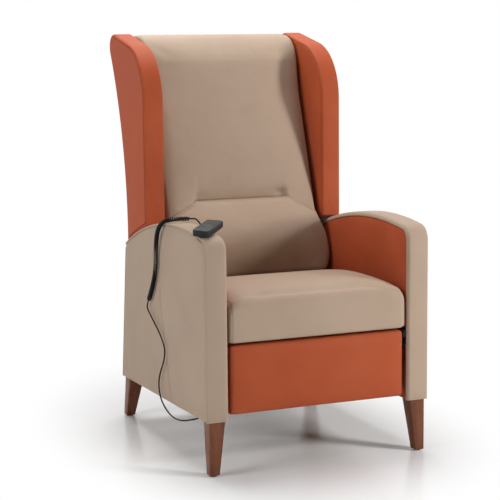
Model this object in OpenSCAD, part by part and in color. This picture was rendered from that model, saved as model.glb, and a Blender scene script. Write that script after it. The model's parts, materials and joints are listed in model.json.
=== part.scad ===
// Electric recliner armchair with a high winged back, a lifting leg rest,
// two electric actuators and a corded handset.
// Lengths are in millimetres. +X is the viewer's right, -Y is the front, +Z is up.
// Inside the modules y is measured from the front of the arms. The place() module
// then moves everything so that the origin lies on the floor under the middle.

/* [Overall] */
// Width over the two arms
chair_w = 670; // [655:5:690]
// Height of the back above the floor
chair_h = 1187; // [1165:1:1210]
// Depth from the front of the arms to the rear of the wings
chair_d = 850; // [835:1:870]
// Height of the front end of the side panels above the floor
leg_h = 150; // [140:1:155]

/* [Arms] */
// Thickness of one arm and side panel
arm_t = 64; // [60:1:70]
// Height of the highest point of the arm
arm_z = 661; // [650:1:675]
// Distance of that highest point from the front
arm_crown_y = 210; // [190:5:230]
// Radius of the arm's gently curved top
arm_crown_r = 1100; // [1000:10:1200]
// Radius of the front top corner
arm_corner_r = 43; // [35:1:50]
// Depth of the side panel at its top rear corner
arm_top_d = 673; // [665:1:680]
// Depth of the side panel at its bottom edge
arm_bottom_d = 733; // [725:1:740]
// How much lower that bottom edge is at the rear than at the front
arm_rear_drop = 21; // [15:1:25]
// Thickness of the band over the front and top
band_t = 6; // [4:1:8]
// Thickness of the padding on each side of the arm
arm_pad_t = 10; // [8:1:12]

/* [Legs] */
// Width of a leg at the top
leg_top_w = 46; // [40:1:48]
// Width of a leg at the foot
leg_foot_w = 28; // [24:1:32]
// How far the feet of the rear legs reach back
leg_rake = 24; // [10:1:30]
// Height of the glides under the legs
glide_h = 3; // [2:0.5:5]

/* [Seat] */
// Height of the front edge of the seat cushion
seat_front_z = 490; // [480:1:495]
// Height of the seat cushion at its rear end
seat_rear_z = 458; // [452:1:459]
// Height of the underside of the seat cushion
seat_under_z = 359; // [358:0.5:359]
// Depth of the seat cushion
seat_d = 500; // [490:1:502]
// Gap between the seat cushion and the arm on each side
seat_gap = 3; // [2:0.5:5]

/* [Back] */
// Height of the hinge of the back
back_pivot_z = 412; // [410:1:414]
// Distance of that hinge behind the seat cushion
back_pivot_d = 95; // [93:1:98]
// Furthest recline of the back in degrees
back_travel = 40; // [30:1:42]
// How far the back cushion reaches over the rear of the seat cushion
back_overhang = 22; // [20:1:26]
// Gap between the back's frame and the inner side of the rear cover
back_frame_gap = 1.5; // [1:0.5:3]
// Thickness of the back cushion
back_pad_t = 85; // [80:1:88]
// Gap between the back cushion and the wing on each side
back_pad_gap = 3; // [2.5:0.5:6]
// Height of the lumbar crease
crease_z = 683; // [670:1:700]
// How far the cushion swells forward below that crease
lumbar_swell = 34; // [20:1:38]

/* [Wings] */
// How far the wing's outer face is set in from the arm's
wing_inset = 16; // [13:1:19]
// Width of one wing, from its outer to its inner face
wing_w = 61; // [59:1:62]
// Distance of the wing's front edge behind the seat cushion
wing_set_back = 22; // [18:1:26]
// Radius of the wing's front top corner
wing_front_r = 174; // [160:1:185]
// Slope of the wing's top edge in degrees
wing_top_slope = 12.4; // [10:0.2:14]
// Radius of the wing's rear top corner
wing_rear_r = 40; // [35:1:45]
// Depth of the wing at its lower rear corner
wing_low_y = 706; // [700:1:710]
// Gap between the wings and the arm tops
wing_gap = 8; // [7:0.5:12]
// Thickness of the wing's cover and padding
wing_pad_t = 8; // [6:0.5:9]

/* [Leg rest] */
// Height of the top edge of the leg rest
rest_top_z = 353; // [351:0.5:353]
// Height of the bottom edge of the leg rest
rest_bottom_z = 161; // [158:1:170]
// How far the leg rest's face is set back from the arms
rest_face_y = 10; // [9:0.5:12]
// Thickness of the leg rest's padding
rest_pad_t = 40; // [36:1:42]
// Gap between the leg rest and the arm on each side
rest_gap = 6.5; // [6:0.5:8]
// Furthest lift of the leg rest in degrees
rest_travel = 80; // [60:1:80]

/* [Drives] */
// Sideways distance of each actuator from the middle
drive_x = 60; // [56:1:64]
// Radius of an actuator's outer tube
drive_tube_r = 20; // [18:0.5:21]
// Radius of an actuator's rod
drive_rod_r = 9; // [8:0.5:10]
// Clearance of a rod in its outer tube
rod_clearance = 0.3; // [0.3:0.05:0.8]
// Radius of the pins of the hinges and the rods
pin_r = 6; // [5:0.5:6]
// Running clearance of a pin in its bore
pin_clearance = 0.06; // [0.03:0.01:0.1]

/* [Handset and cord] */
// Length of the handset
handset_l = 140; // [134:1:142]
// Width of the handset
handset_w = 48; // [44:1:48]
// Thickness of the handset
handset_t = 18; // [18:0.5:20]
// Direction of the handset's length, in degrees from straight back
handset_turn = 38; // [34:1:42]
// Travel of a handset button
button_travel = 1; // [0.8:0.1:1.2]
// Diameter of the cord
cord_d = 4.4; // [4:0.1:4.6]
// Outer diameter of the curly part of the cord
curl_d = 14; // [13:0.5:14.5]
// Distance from one curl to the next
curl_pitch = 6.6; // [6.4:0.1:7]

/* [Hidden] */
$fn = 48;

beige = [0.69, 0.62, 0.54];
terracotta = [0.66, 0.33, 0.21];
leg_brown = [0.42, 0.22, 0.15];
plywood = [0.78, 0.65, 0.46];
beech = [0.72, 0.54, 0.35];
steel = [0.55, 0.56, 0.58];
black = [0.1, 0.1, 0.1];
grey = [0.75, 0.76, 0.77];
strap_brown = [0.25, 0.2, 0.17];

half_w = chair_w / 2;
mid_y = chair_d / 2;
arm_inner_x = half_w - arm_t;
core_inner_x = arm_inner_x + arm_pad_t;
core_outer_x = half_w - arm_pad_t;
wing_outer_x = half_w - wing_inset;
wing_inner_x = wing_outer_x - wing_w;
back_pad_half = wing_inner_x - back_pad_gap;
back_pivot_y = seat_d + back_pivot_d;
wing_front_y = seat_d + wing_set_back;

// The arm's outline: a straight front, a round corner and a long shallow arc
crown_centre_z = arm_z - arm_crown_r;
corner_centre_z = crown_centre_z
    + sqrt(pow(arm_crown_r - arm_corner_r, 2) - pow(arm_crown_y - arm_corner_r, 2));
corner_end = atan2(corner_centre_z - crown_centre_z, arm_corner_r - arm_crown_y);
function crown_z(y, inset) =
    crown_centre_z + sqrt(pow(arm_crown_r - inset, 2) - pow(y - arm_crown_y, 2));
function crown_angle(y, inset) = acos((y - arm_crown_y) / (arm_crown_r - inset));
function arc(cy, cz, r, from, to, steps) =
    [for (i = [0:steps]) let (a = from + (to - from) * i / steps) [cy + r * cos(a), cz + r * sin(a)]];
function reversed(list) = [for (i = [len(list) - 1:-1:0]) list[i]];
function under_z(y) = leg_h - arm_rear_drop * y / arm_bottom_d;
function arm_edge(inset) = concat(
    [[inset, under_z(inset)]],
    arc(arm_corner_r, corner_centre_z, arm_corner_r - inset, 180, corner_end, 8),
    [for (p = arc(arm_crown_y, crown_centre_z, arm_crown_r - inset,
        corner_end, crown_angle(arm_top_d, inset), 14)) if (p[0] > arm_corner_r) p]
);

// The wing's outline: a straight front, two round corners and a hollow rear edge
wing_corner_y = chair_d - wing_rear_r;
wing_corner_z = chair_h - wing_rear_r;
wing_foot_h = 24;
wing_low_z = crown_z(wing_low_y, 0) + wing_gap + wing_foot_h;
wing_reach = wing_corner_y - wing_low_y;
wing_rise = wing_corner_z - wing_low_z;
wing_hollow_r = (pow(wing_reach, 2) + pow(wing_rise, 2) - pow(wing_rear_r, 2))
    / (2 * (wing_reach + wing_rear_r));
wing_hollow_y = wing_low_y + wing_hollow_r;
hollow_end = atan2(wing_rise, wing_reach - wing_hollow_r);
wing_front_centre_y = wing_front_y + wing_front_r;
wing_front_centre_z = wing_corner_z + (wing_rear_r - wing_front_r) / cos(wing_top_slope)
    - (wing_corner_y - wing_front_centre_y) * tan(wing_top_slope);
function wing_edge(inset) = concat(
    [[wing_front_y + inset, wing_front_centre_z - 330]],
    arc(wing_front_centre_y, wing_front_centre_z, wing_front_r - inset, 180, 90 + wing_top_slope, 10),
    arc(wing_corner_y, wing_corner_z, wing_rear_r - inset, 90 + wing_top_slope, hollow_end - 180, 8),
    arc(wing_hollow_y, wing_low_z, wing_hollow_r + inset, hollow_end, 180, 12),
    [[wing_low_y - inset, wing_low_z - 45]]
);
function wing_foot(from, to) =
    [for (i = [0:8]) let (y = from + (to - from) * i / 8) [y, crown_z(y, 0) + wing_gap]];
function wing_outline(inset) = concat(
    [for (p = wing_edge(inset)) if (p[1] > crown_z(p[0], 0) + wing_gap) p],
    wing_foot(wing_low_y - inset, wing_front_y + inset)
);

// The back's frame stands behind the cushion and ends below the rolled top
upright_w = 30;
upright_d = 24;
upright_top_gap = 75;
upright_top_z = chair_h - upright_top_gap;
web_t = 3;
web_w = 60;
web_ease = 0.1;

// The back leans so far that its frame just clears the hollow rear cover:
// the frame's rear line is the tangent from its foot to that cover's inner arc
cover_t = 8;
cover_inset = 2;
back_foot_y = seat_d - back_overhang;
frame_foot_y = back_foot_y + back_pad_t + web_t + upright_d;
hollow_dy = wing_hollow_y - frame_foot_y;
hollow_dz = wing_low_z - seat_rear_z;
clear_r = wing_hollow_r + cover_inset + cover_t + back_frame_gap;
back_lean = atan2(hollow_dz, hollow_dy) + asin(clear_r / norm([hollow_dy, hollow_dz]));
back_rake = 1 / tan(back_lean);
function face_y(z) = back_foot_y + (z - seat_rear_z) * back_rake;
function rear_y(z) = face_y(z) + back_pad_t;

// The drives: each rod moves a lever whose slot leaves room for its swing
rest_pivot_d = 18;
rest_pivot_drop = 14;
rest_lever_l = 77;
back_lever_l = 122;
rest_pivot_y = rest_face_y + rest_pivot_d;
rest_pivot_z = rest_top_z - rest_pivot_drop;
rest_rod_z = rest_pivot_z - rest_lever_l;
rest_half_swing = rest_travel / 2;
rest_half_stroke = (rest_pivot_z - rest_rod_z) * tan(rest_half_swing) * 0.966;
rest_pin_y = rest_pivot_y + rest_half_stroke;
back_rod_z = back_pivot_z - back_lever_l;
back_half_swing = back_travel / 2;
back_half_stroke = (back_pivot_z - back_rod_z) * tan(back_half_swing) * 0.985;
back_pin_y = back_pivot_y + back_half_stroke;

// The handset lies on the arm's sloping top, its near end a little over the outer edge
handset_inset = 45;
handset_x = -half_w + handset_inset;
handset_y = 92;
handset_slope = asin((arm_crown_y - handset_y) / arm_crown_r);
handset_z = crown_z(handset_y, 0) + 0.5;
button_places = [[-8, 20], [8, 20], [-8, -4], [8, -4]];
button_r = 4.5;

function smooth(t) = t <= 0 ? 0 : t >= 1 ? 1 : t * t * (3 - 2 * t);
function unit(v) = v / norm(v);

module place() {
    translate([0, -mid_y, 0]) children();
}

// Shows its children on one side: -1 is the viewer's left, 1 the right
module on_side(side) {
    if (side < 0) mirror([1, 0, 0]) children();
    else children();
}

// A flat piece: an outline of y and z points, drawn out along x
module slab(points, from_x, to_x) {
    translate([from_x, 0, 0]) rotate([90, 0, 90]) linear_extrude(to_x - from_x) polygon(points);
}

module block(low, high) {
    translate(low) cube(high - low);
}

module bar_x(y, z, r, from_x, to_x) {
    translate([from_x, y, z]) rotate([0, 90, 0]) cylinder(h = to_x - from_x, r = r);
}

module bar_y(x, z, r, from_y, to_y) {
    translate([x, from_y, z]) rotate([-90, 0, 0]) cylinder(h = to_y - from_y, r = r);
}

// A closed skin over loops of points that follow one another
module skin(loops) {
    n = len(loops[0]);
    m = len(loops);
    points = [for (l = loops) each l];
    sides = [for (i = [0:m - 2]) for (j = [0:n - 1]) let (k = (j + 1) % n)
        each [[i * n + j, i * n + k, (i + 1) * n + k], [i * n + j, (i + 1) * n + k, (i + 1) * n + j]]];
    polyhedron(points,
        concat([[for (j = [n - 1:-1:0]) j]], sides, [[for (j = [0:n - 1]) (m - 1) * n + j]]),
        convexity = 6);
}

// Side panels and arms
panel_edge = concat(arm_edge(band_t), [[arm_bottom_d, under_z(arm_bottom_d)]]);

module side_frame(side) {
    color(plywood) place() on_side(side) slab(panel_edge, core_inner_x, core_outer_x);
}

module outer_panel(side) {
    color(beige) place() on_side(side) slab(panel_edge, core_outer_x, half_w);
}

// The inner panel stops above the seat rail and leaves room for the back's hinge
hinge_room_y = back_pivot_y - 50;
hinge_room_z = back_pivot_z + 68;
panel_low_z = seat_under_z + 1;

module inner_panel(side) {
    color(terracotta) place() on_side(side)
        slab(concat(
            [[band_t, panel_low_z]],
            [for (p = arm_edge(band_t)) if (p[1] > panel_low_z) p],
            [[arm_top_d, hinge_room_z], [hinge_room_y, hinge_room_z], [hinge_room_y, panel_low_z]]
        ), arm_inner_x, core_inner_x);
}

module arm_band(side) {
    color(beige) place() on_side(side)
        slab(concat(arm_edge(0), reversed(arm_edge(band_t))), arm_inner_x, half_w);
}

// A leg that tapers on its inner side and, seen from the side, to one or both faces
leg_inset = 8;
leg_chamfer = 3;
leg_outer_x = half_w - leg_inset;
leg_inner_x = leg_outer_x - leg_top_w;

module leg(top_y, foot_y) {
    inner_foot_x = leg_outer_x - leg_foot_w;
    chamfer_z = glide_h + leg_chamfer;
    intersection() {
        slab([[top_y, under_z(top_y)], [top_y + leg_top_w, under_z(top_y + leg_top_w)],
            [foot_y + leg_foot_w, chamfer_z],
            [foot_y + leg_foot_w - leg_chamfer, glide_h], [foot_y + leg_chamfer, glide_h],
            [foot_y, chamfer_z]], leg_inner_x, leg_outer_x);
        translate([0, top_y + leg_top_w + leg_rake + 40, 0]) rotate([90, 0, 0])
            linear_extrude(leg_top_w + leg_rake + 80)
            polygon([[leg_outer_x, leg_h], [leg_inner_x, leg_h], [inner_foot_x, chamfer_z],
                [inner_foot_x + leg_chamfer, glide_h], [leg_outer_x - leg_chamfer, glide_h],
                [leg_outer_x, chamfer_z]]);
    }
}

front_leg_y = 4;
rear_leg_inset = 6;
rear_leg_y = arm_bottom_d - leg_top_w - rear_leg_inset;
rear_foot_y = rear_leg_y + leg_top_w - leg_foot_w + leg_rake;

module front_leg(side) {
    color(leg_brown) place() on_side(side) leg(front_leg_y, front_leg_y);
}

module rear_leg(side) {
    color(leg_brown) place() on_side(side) leg(rear_leg_y, rear_foot_y);
}

module leg_glides() {
    color(black) place() for (side = [-1, 1]) for (foot_y = [front_leg_y, rear_foot_y])
        on_side(side) translate([leg_outer_x - leg_foot_w / 2, foot_y + leg_foot_w / 2, 0])
            cylinder(h = glide_h, r = leg_foot_w / 2 - leg_chamfer - 1);
}

leg_bolt_l = 75;
leg_bolt_in_leg = 35;
leg_bolt_r = 4;

module leg_bolts() {
    color(steel) place() for (side = [-1, 1]) for (top_y = [front_leg_y, rear_leg_y])
        let (y = top_y + leg_top_w / 2)
            on_side(side) translate([leg_outer_x - leg_top_w / 2, y, under_z(y) - leg_bolt_in_leg])
                cylinder(h = leg_bolt_l, r = leg_bolt_r);
}

// Seat frame
rail_t = 25;
rail_low_z = 246;
rail_top_z = seat_under_z - web_t;
rail_front_y = 80;
rail_rear_y = back_pivot_y + rail_t;
rail_inner_x = core_inner_x - rail_t;
front_rail_y = 89;
front_rail_low_z = 300;
rear_rail_y = seat_d - 8;
rear_rail_low_z = 312;

module seat_rail(side) {
    color(beech) place() on_side(side)
        block([rail_inner_x, rail_front_y, rail_low_z], [core_inner_x, rail_rear_y, rail_top_z]);
}

module seat_front_rail() {
    color(beech) place()
        block([-rail_inner_x, front_rail_y, front_rail_low_z],
            [rail_inner_x, front_rail_y + rail_t, rail_top_z]);
}

module seat_rear_rail() {
    color(beech) place()
        block([-rail_inner_x, rear_rail_y, rear_rail_low_z],
            [rail_inner_x, rear_rail_y + rail_t, rail_top_z]);
}

rear_panel_t = 18;
rear_panel_inset = 30;
rear_panel_y = arm_bottom_d - rear_panel_inset - rear_panel_t;
rear_panel_low_z = under_z(rear_panel_y) + 6;
rear_panel_h = 150;

module rear_panel() {
    color(beige) place()
        block([-core_inner_x, rear_panel_y, rear_panel_low_z],
            [core_inner_x, rear_panel_y + rear_panel_t, rear_panel_low_z + rear_panel_h]);
}

// Two square steel tubes that carry the drives
tube_w = 25;
tube_wall = 2;
front_tube_y = 125;
front_tube_z = back_rod_z - tube_w / 2;
rear_tube_y = 450;
rear_tube_drop = 22;
rear_tube_z = rest_rod_z - rear_tube_drop;

module square_tube(y, z) {
    difference() {
        block([-rail_inner_x, y, z], [rail_inner_x, y + tube_w, z + tube_w]);
        block([-rail_inner_x - 1, y + tube_wall, z + tube_wall],
            [rail_inner_x + 1, y + tube_w - tube_wall, z + tube_w - tube_wall]);
    }
}

module drive_crossbars() {
    color(steel) place() {
        square_tube(front_tube_y, front_tube_z);
        square_tube(rear_tube_y, rear_tube_z);
    }
}

webs = 6;
web_end_gap = 4;
seat_web_y = 88;
seat_web_pitch = (seat_d + 38 - web_w - seat_web_y) / (webs - 1);

module seat_webbing() {
    color(strap_brown) place() for (i = [0:webs - 1]) let (y = seat_web_y + i * seat_web_pitch)
        block([-core_inner_x + web_end_gap, y, rail_top_z],
            [core_inner_x - web_end_gap, y + web_w, seat_under_z]);
}

// Seat cushion: crowned on top, with a full front and sides drawn in at the seams
seat_half = arm_inner_x - seat_gap;
seat_stations = [-1, -0.985, -0.94, -0.8, -0.55, -0.28, 0, 0.28, 0.55, 0.8, 0.94, 0.985, 1];

function seat_top(y) = seat_front_z + (seat_rear_z - seat_front_z) * pow(y / seat_d, 1.3);
function seat_loop(u) = let (
        edge = 1 - pow(abs(u), 6),
        side = 1 - pow(abs(u), 24),
        crown = 14 * (1 - u * u),
        low = seat_under_z + 4 * (1 - side),
        front = 9 - 9 * (0.35 + 0.65 * (1 - u * u)) * side + 3 * (1 - side),
        rear = seat_d - 5 * (1 - side)
    ) concat(
        [[front + 8, low], [front + 1.5, low + 7], [front, low + 26]],
        [for (k = [1:3]) [front + 1.2 * pow(k / 3, 4), low + 26 + (seat_front_z - low - 70) * k / 3]],
        [for (k = [1:5]) let (a = 180 - 90 * k / 5)
            [front + 45 + 44 * cos(a), seat_front_z - 41 + 33 * sin(a) - 8 * (1 - edge)
                + 3 * edge * sin(a)]],
        [for (k = [1:7]) let (y = 50 + (rear - 70) * k / 7)
            [y, seat_top(y) - 14 + 6 + crown * sin(180 * (0.18 + 0.7 * k / 8)) * 0.55 - 8 * (1 - edge)]],
        [[rear - 4, seat_rear_z - 20], [rear, seat_rear_z - 40], [rear, low + 20], [rear - 6, low]]
    );

module seat_cushion() {
    color(beige) place()
        skin([for (u = seat_stations) [for (p = seat_loop(u)) [u * seat_half, p[0], p[1]]]]);
}

// Hinges
bracket_t = 5;
plate_t = 4;
back_bracket_front_y = back_pivot_y - 26;
back_bracket_rear_y = back_pivot_y + 38;
bracket_rise = 26;
bracket_bevel = 14;
rest_bracket_front = 14;
rest_bracket_rear = 26;
rest_bracket_low = 44;
rest_bracket_top = 15;

module back_hinge_brackets() {
    top_z = back_pivot_z + bracket_rise;
    color(steel) place() for (side = [-1, 1]) on_side(side) difference() {
        slab([[back_bracket_front_y, rail_top_z + 2], [back_bracket_rear_y, rail_top_z + 2],
            [back_bracket_rear_y, top_z - bracket_bevel], [back_bracket_rear_y - bracket_bevel, top_z],
            [back_bracket_front_y + bracket_bevel, top_z], [back_bracket_front_y, top_z - bracket_bevel]],
            core_inner_x - bracket_t, core_inner_x);
        bar_x(back_pivot_y, back_pivot_z, pin_r, core_inner_x - bracket_t - 1, core_inner_x + 1);
    }
}

module rest_hinge_brackets() {
    color(steel) place() for (side = [-1, 1]) on_side(side) difference() {
        block([core_inner_x - bracket_t, rest_pivot_y - rest_bracket_front, rest_pivot_z - rest_bracket_low],
            [core_inner_x, rest_pivot_y + rest_bracket_rear, rest_pivot_z + rest_bracket_top]);
        bar_x(rest_pivot_y, rest_pivot_z, pin_r, core_inner_x - bracket_t - 1, core_inner_x + 1);
    }
}

// Each pin is held by its bracket and has a collar between bracket and plate
plate_outer_x = arm_inner_x - 1;
plate_inner_x = plate_outer_x - plate_t;

module pivot_pins() {
    color(grey) place() for (side = [-1, 1]) on_side(side)
        for (p = [[back_pivot_y, back_pivot_z], [rest_pivot_y, rest_pivot_z]]) {
            bar_x(p[0], p[1], pin_r, plate_inner_x - 0.4, core_inner_x);
            bar_x(p[0], p[1], pin_r + 3.5, plate_outer_x + 0.3, core_inner_x - bracket_t);
        }
}

module bracket_screws() {
    color(grey) place() for (side = [-1, 1]) on_side(side)
        for (p = [[back_pivot_y - 16, back_pivot_z + 10], [back_pivot_y + 28, back_pivot_z - 6],
            [back_pivot_y - 18, back_pivot_z - 40], [back_pivot_y + 28, back_pivot_z - 40],
            [rest_pivot_y - 5, rest_pivot_z - 34], [rest_pivot_y + 17, rest_pivot_z - 34],
            [rest_pivot_y + 18, rest_pivot_z + 4]]) {
            bar_x(p[0], p[1], 4.5, core_inner_x - bracket_t - 2.5, core_inner_x - bracket_t);
            bar_x(p[0], p[1], 2.2, core_inner_x - bracket_t - 1, core_inner_x + 22);
        }
}

// Drives: a gearbox with a motor below it, an outer tube and a rod with a fork
fork_gap = 10;
fork_half_w = 16;
fork_h = 16;

gear_half_w = 26;
gear_l = 58;
gear_low = 28;
motor_r = 24;
motor_low = 98;
motor_cap_r = 18;
motor_cap_low = 104;
lug_half_w = 9;

module drive_body(x, z, gear_y, tube_from, tube_to, bore_from, bore_to, lug_from, lug_to) {
    difference() {
        bar_y(x, z, drive_tube_r, tube_from, tube_to);
        bar_y(x, z, drive_rod_r + rod_clearance, bore_from, bore_to);
    }
    block([x - gear_half_w, gear_y, z - gear_low], [x + gear_half_w, gear_y + gear_l, z + gear_half_w]);
    translate([x, gear_y + gear_l / 2, z - motor_low])
        cylinder(h = motor_low - gear_low + 1, r = motor_r);
    translate([x, gear_y + gear_l / 2, z - motor_cap_low])
        cylinder(h = motor_cap_low - motor_low + 1, r = motor_cap_r);
    block([x - lug_half_w, lug_from, z - lug_half_w], [x + lug_half_w, lug_to, z + 2]);
}

// The fork opens towards way: 1 for the rear, -1 for the front
module drive_fork(x, z, pin_y, way, reach, rod_end) {
    near_y = pin_y - way * reach;
    bar_y(x, z, drive_rod_r, min(near_y - way * 8, rod_end), max(near_y - way * 8, rod_end));
    back_y = near_y - way * 12;
    end_y = pin_y + way * fork_h;
    difference() {
        union() {
            block([x - fork_half_w, min(back_y, pin_y), z - fork_h / 2],
                [x + fork_half_w, max(back_y, pin_y), z + fork_h / 2]);
            bar_x(pin_y, z, fork_h / 2, x - fork_half_w, x + fork_half_w);
        }
        block([x - fork_gap / 2, min(near_y, end_y), z - fork_h],
            [x + fork_gap / 2, max(near_y, end_y), z + fork_h]);
    }
    bar_x(pin_y, z, pin_r, x - fork_half_w - 2, x + fork_half_w + 2);
}

back_gear_y = 190;
back_tube_end = 470;
back_bore_y = 262;
back_rod_start = 366;
back_fork_reach = 28;
rest_gear_y = 384;
rest_tube_start = 165;
rest_bore_end = 366;
rest_rod_end = 352;
rest_fork_reach = 42;

module back_drive() {
    color(black) place()
        drive_body(drive_x, back_rod_z, back_gear_y, back_gear_y + gear_l - 2, back_tube_end,
            back_bore_y, back_tube_end + 1, front_tube_y + tube_w, back_gear_y + 2);
}

module back_drive_rod() {
    color(grey) place()
        drive_fork(drive_x, back_rod_z, back_pin_y, 1, back_fork_reach, back_rod_start);
}

module rest_drive() {
    color(black) place()
        drive_body(-drive_x, rest_rod_z, rest_gear_y, rest_tube_start, rest_gear_y + 2,
            rest_tube_start - 1, rest_bore_end, rest_gear_y + gear_l - 2, rear_tube_y);
}

module rest_drive_rod() {
    color(grey) place()
        drive_fork(-drive_x, rest_rod_z, rest_pin_y, -1, rest_fork_reach, rest_rod_end);
}

// Control box on the inner face of the viewer's left side frame
box_w = 48;
box_y = 150;
box_length = 180;
box_drop = 18;
box_low = [-core_inner_x, box_y, leg_h + box_drop];
box_high = [-core_inner_x + box_w, box_y + box_length, rail_low_z - 6];
gland_x = -core_inner_x + box_w / 2;
gland_y = 186;
gland_z = box_low[2];

module control_box() {
    color(black) place() difference() {
        union() {
            block(box_low, box_high);
            block(box_low + [0, 20, -3], [box_high[0] - 8, box_high[1] - 20, box_low[2] + 1]);
        }
        // the recess of the mains inlet, in the rear face
        block([gland_x - 11, box_high[1] - 14, gland_z + 26], [gland_x + 11, box_high[1] + 1, gland_z + 44]);
        // the bore for the cord gland
        translate([gland_x, gland_y, gland_z - 6]) cylinder(h = 18, r = 5);
    }
}

module cord_gland() {
    color(black) place() difference() {
        union() {
            translate([gland_x, gland_y, gland_z - 3]) cylinder(h = 12, r = 5);
            translate([gland_x, gland_y, gland_z - 9]) cylinder(h = 6, r = 7);
        }
        translate([gland_x, gland_y, gland_z - 5]) cylinder(h = 20, r = cord_d / 2 - 0.3);
    }
}

// Handset: drawn flat, with its length along y, then laid on the arm
module on_arm() {
    place() translate([handset_x, handset_y, handset_z])
        rotate([handset_slope, 0, 0]) rotate([0, 0, -handset_turn]) children();
}

module rounded_plate(l, w, r, h) {
    linear_extrude(h) polygon([for (q = [0:3])
        let (x = (q == 0 || q == 3 ? 1 : -1) * (w / 2 - r), y = (q < 2 ? 1 : -1) * (l / 2 - r))
            each arc(x, y, r, q * 90, q * 90 + 90, 5)]);
}

base_h = handset_t * 0.55;
shell_t = 2;

module handset_base() {
    color(black) on_arm() difference() {
        rounded_plate(handset_l, handset_w, 10, base_h);
        translate([0, 0, shell_t])
            rounded_plate(handset_l - 2 * shell_t, handset_w - 2 * shell_t, 8, base_h);
        translate([0, handset_l / 2 - 5, base_h / 2]) rotate([-90, 0, 0])
            cylinder(h = 6, r = cord_d / 2 + 0.2);
    }
}

module handset_cover() {
    color(black) on_arm() difference() {
        translate([0, 0, base_h]) rounded_plate(handset_l, handset_w, 10, handset_t - base_h);
        translate([0, 0, base_h - 1])
            rounded_plate(handset_l - 2 * shell_t, handset_w - 2 * shell_t, 8,
                handset_t - base_h - shell_t + 1);
        for (p = button_places)
            translate([p[0], p[1], base_h]) cylinder(h = handset_t, r = button_r + 0.3);
    }
}

module handset_board() {
    color([0.1, 0.35, 0.2]) on_arm() translate([0, 0, base_h - 1.5])
        block([-handset_w / 2 + shell_t, -handset_l / 2 + 10, 0],
            [handset_w / 2 - shell_t, handset_l / 2 - 10, 1.5]);
}

// A button keeps its flange under the cover and stands clear of the board
module button(i) {
    color(grey) on_arm() translate([button_places[i][0], button_places[i][1], 0]) {
        translate([0, 0, base_h + button_travel + 0.4])
            cylinder(h = handset_t + 1.4 - base_h - button_travel - 0.4, r = button_r);
        translate([0, 0, handset_t - shell_t - 1.2]) cylinder(h = 1, r = button_r + 1.5);
    }
}

// Cord: a plain lead from the control box, a curly part over the arm, and a tail
lead_points = [
    [-344, 443, 413], [-344, 451, 401], [-344, 450, 390], [-344, 430, 378], [-344, 392, 358],
    [-344, 350, 336], [-344, 316, 310], [-344, 306, 286], [-344, 320, 254], [-344, 346, 222],
    [-344, 361, 190], [-344, 357, 160], [-344, 334, 136], [-344, 290, 119], [-344, 235, 113],
    [-340, 180, 118], [-326, 138, 129], [-304, 126, 136], [-280, 140, 138], [-264, 166, 138],
    [-257, 184, 144], [-257, 186, 152], [-257, 186, 160]
];
curl_points = [
    [-272, 262, 671], [-290, 266, 671], [-310, 273, 671], [-329, 286, 669], [-343, 304, 660],
    [-349, 326, 640], [-348, 348, 610], [-345, 364, 574], [-344, 371, 536], [-344, 382, 498],
    [-344, 402, 464], [-344, 426, 432], [-344, 443, 413]
];
// A point on the line of the bore in the handset's rear end
function bore_point(ly) = let (
        v = ly * cos(handset_turn)
    ) [
        handset_x + ly * sin(handset_turn),
        handset_y + v * cos(handset_slope) - base_h / 2 * sin(handset_slope),
        handset_z + v * sin(handset_slope) + base_h / 2 * cos(handset_slope)
    ];
tail_points = [
    bore_point(handset_l / 2 - 3), bore_point(handset_l / 2 + 6), [-236, 160, 662],
    [-230, 169, 655], [-227, 180, 648], [-228, 195, 643], [-232, 210, 640], [-238, 225, 640],
    [-244, 238, 644], [-249, 248, 652], [-254, 256, 662], [-262, 260.5, 670], [-272, 262, 671]
];

// A smooth curve through the points of a route
function spline(p, i, t) = let (
        n = len(p) - 1,
        a = p[max(i - 1, 0)], b = p[i], c = p[min(i + 1, n)], d = p[min(i + 2, n)]
    ) 0.5 * (2 * b + (c - a) * t + (2 * a - 5 * b + 4 * c - d) * t * t + (3 * b - a - 3 * c + d) * t * t * t);
function along(p, s) = let (
        n = len(p) - 1,
        i = min(floor(s), n - 1)
    ) spline(p, i, s - i);
function step_l(list, i) = i < len(list) - 1 ? norm(list[i + 1] - list[i]) : 0;
function running(list, i = 0, sum = 0) =
    i == len(list) ? [] : concat([sum], running(list, i + 1, sum + step_l(list, i)));

module cord_tube(route, side_count, steps) {
    rings = (len(route) - 1) * steps;
    centre = [for (i = [0:rings]) along(route, i / steps)];
    way = [for (i = [0:rings]) unit(centre[min(i + 1, rings)] - centre[max(i - 1, 0)])];
    up = [for (w = way) let (ref = abs(w[2]) > 0.9 ? [1, 0, 0] : [0, 0, 1]) unit(cross(w, ref))];
    color(black) place() skin([for (i = [0:rings]) let (e = up[i], f = cross(way[i], e))
        [for (k = [0:side_count - 1]) let (a = -360 * k / side_count)
            centre[i] + cord_d / 2 * (cos(a) * e + sin(a) * f)]]);
}

module cord_lead() {
    cord_tube(lead_points, 8, 3);
}

module cord_tail() {
    cord_tube(tail_points, 8, 4);
}

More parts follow.
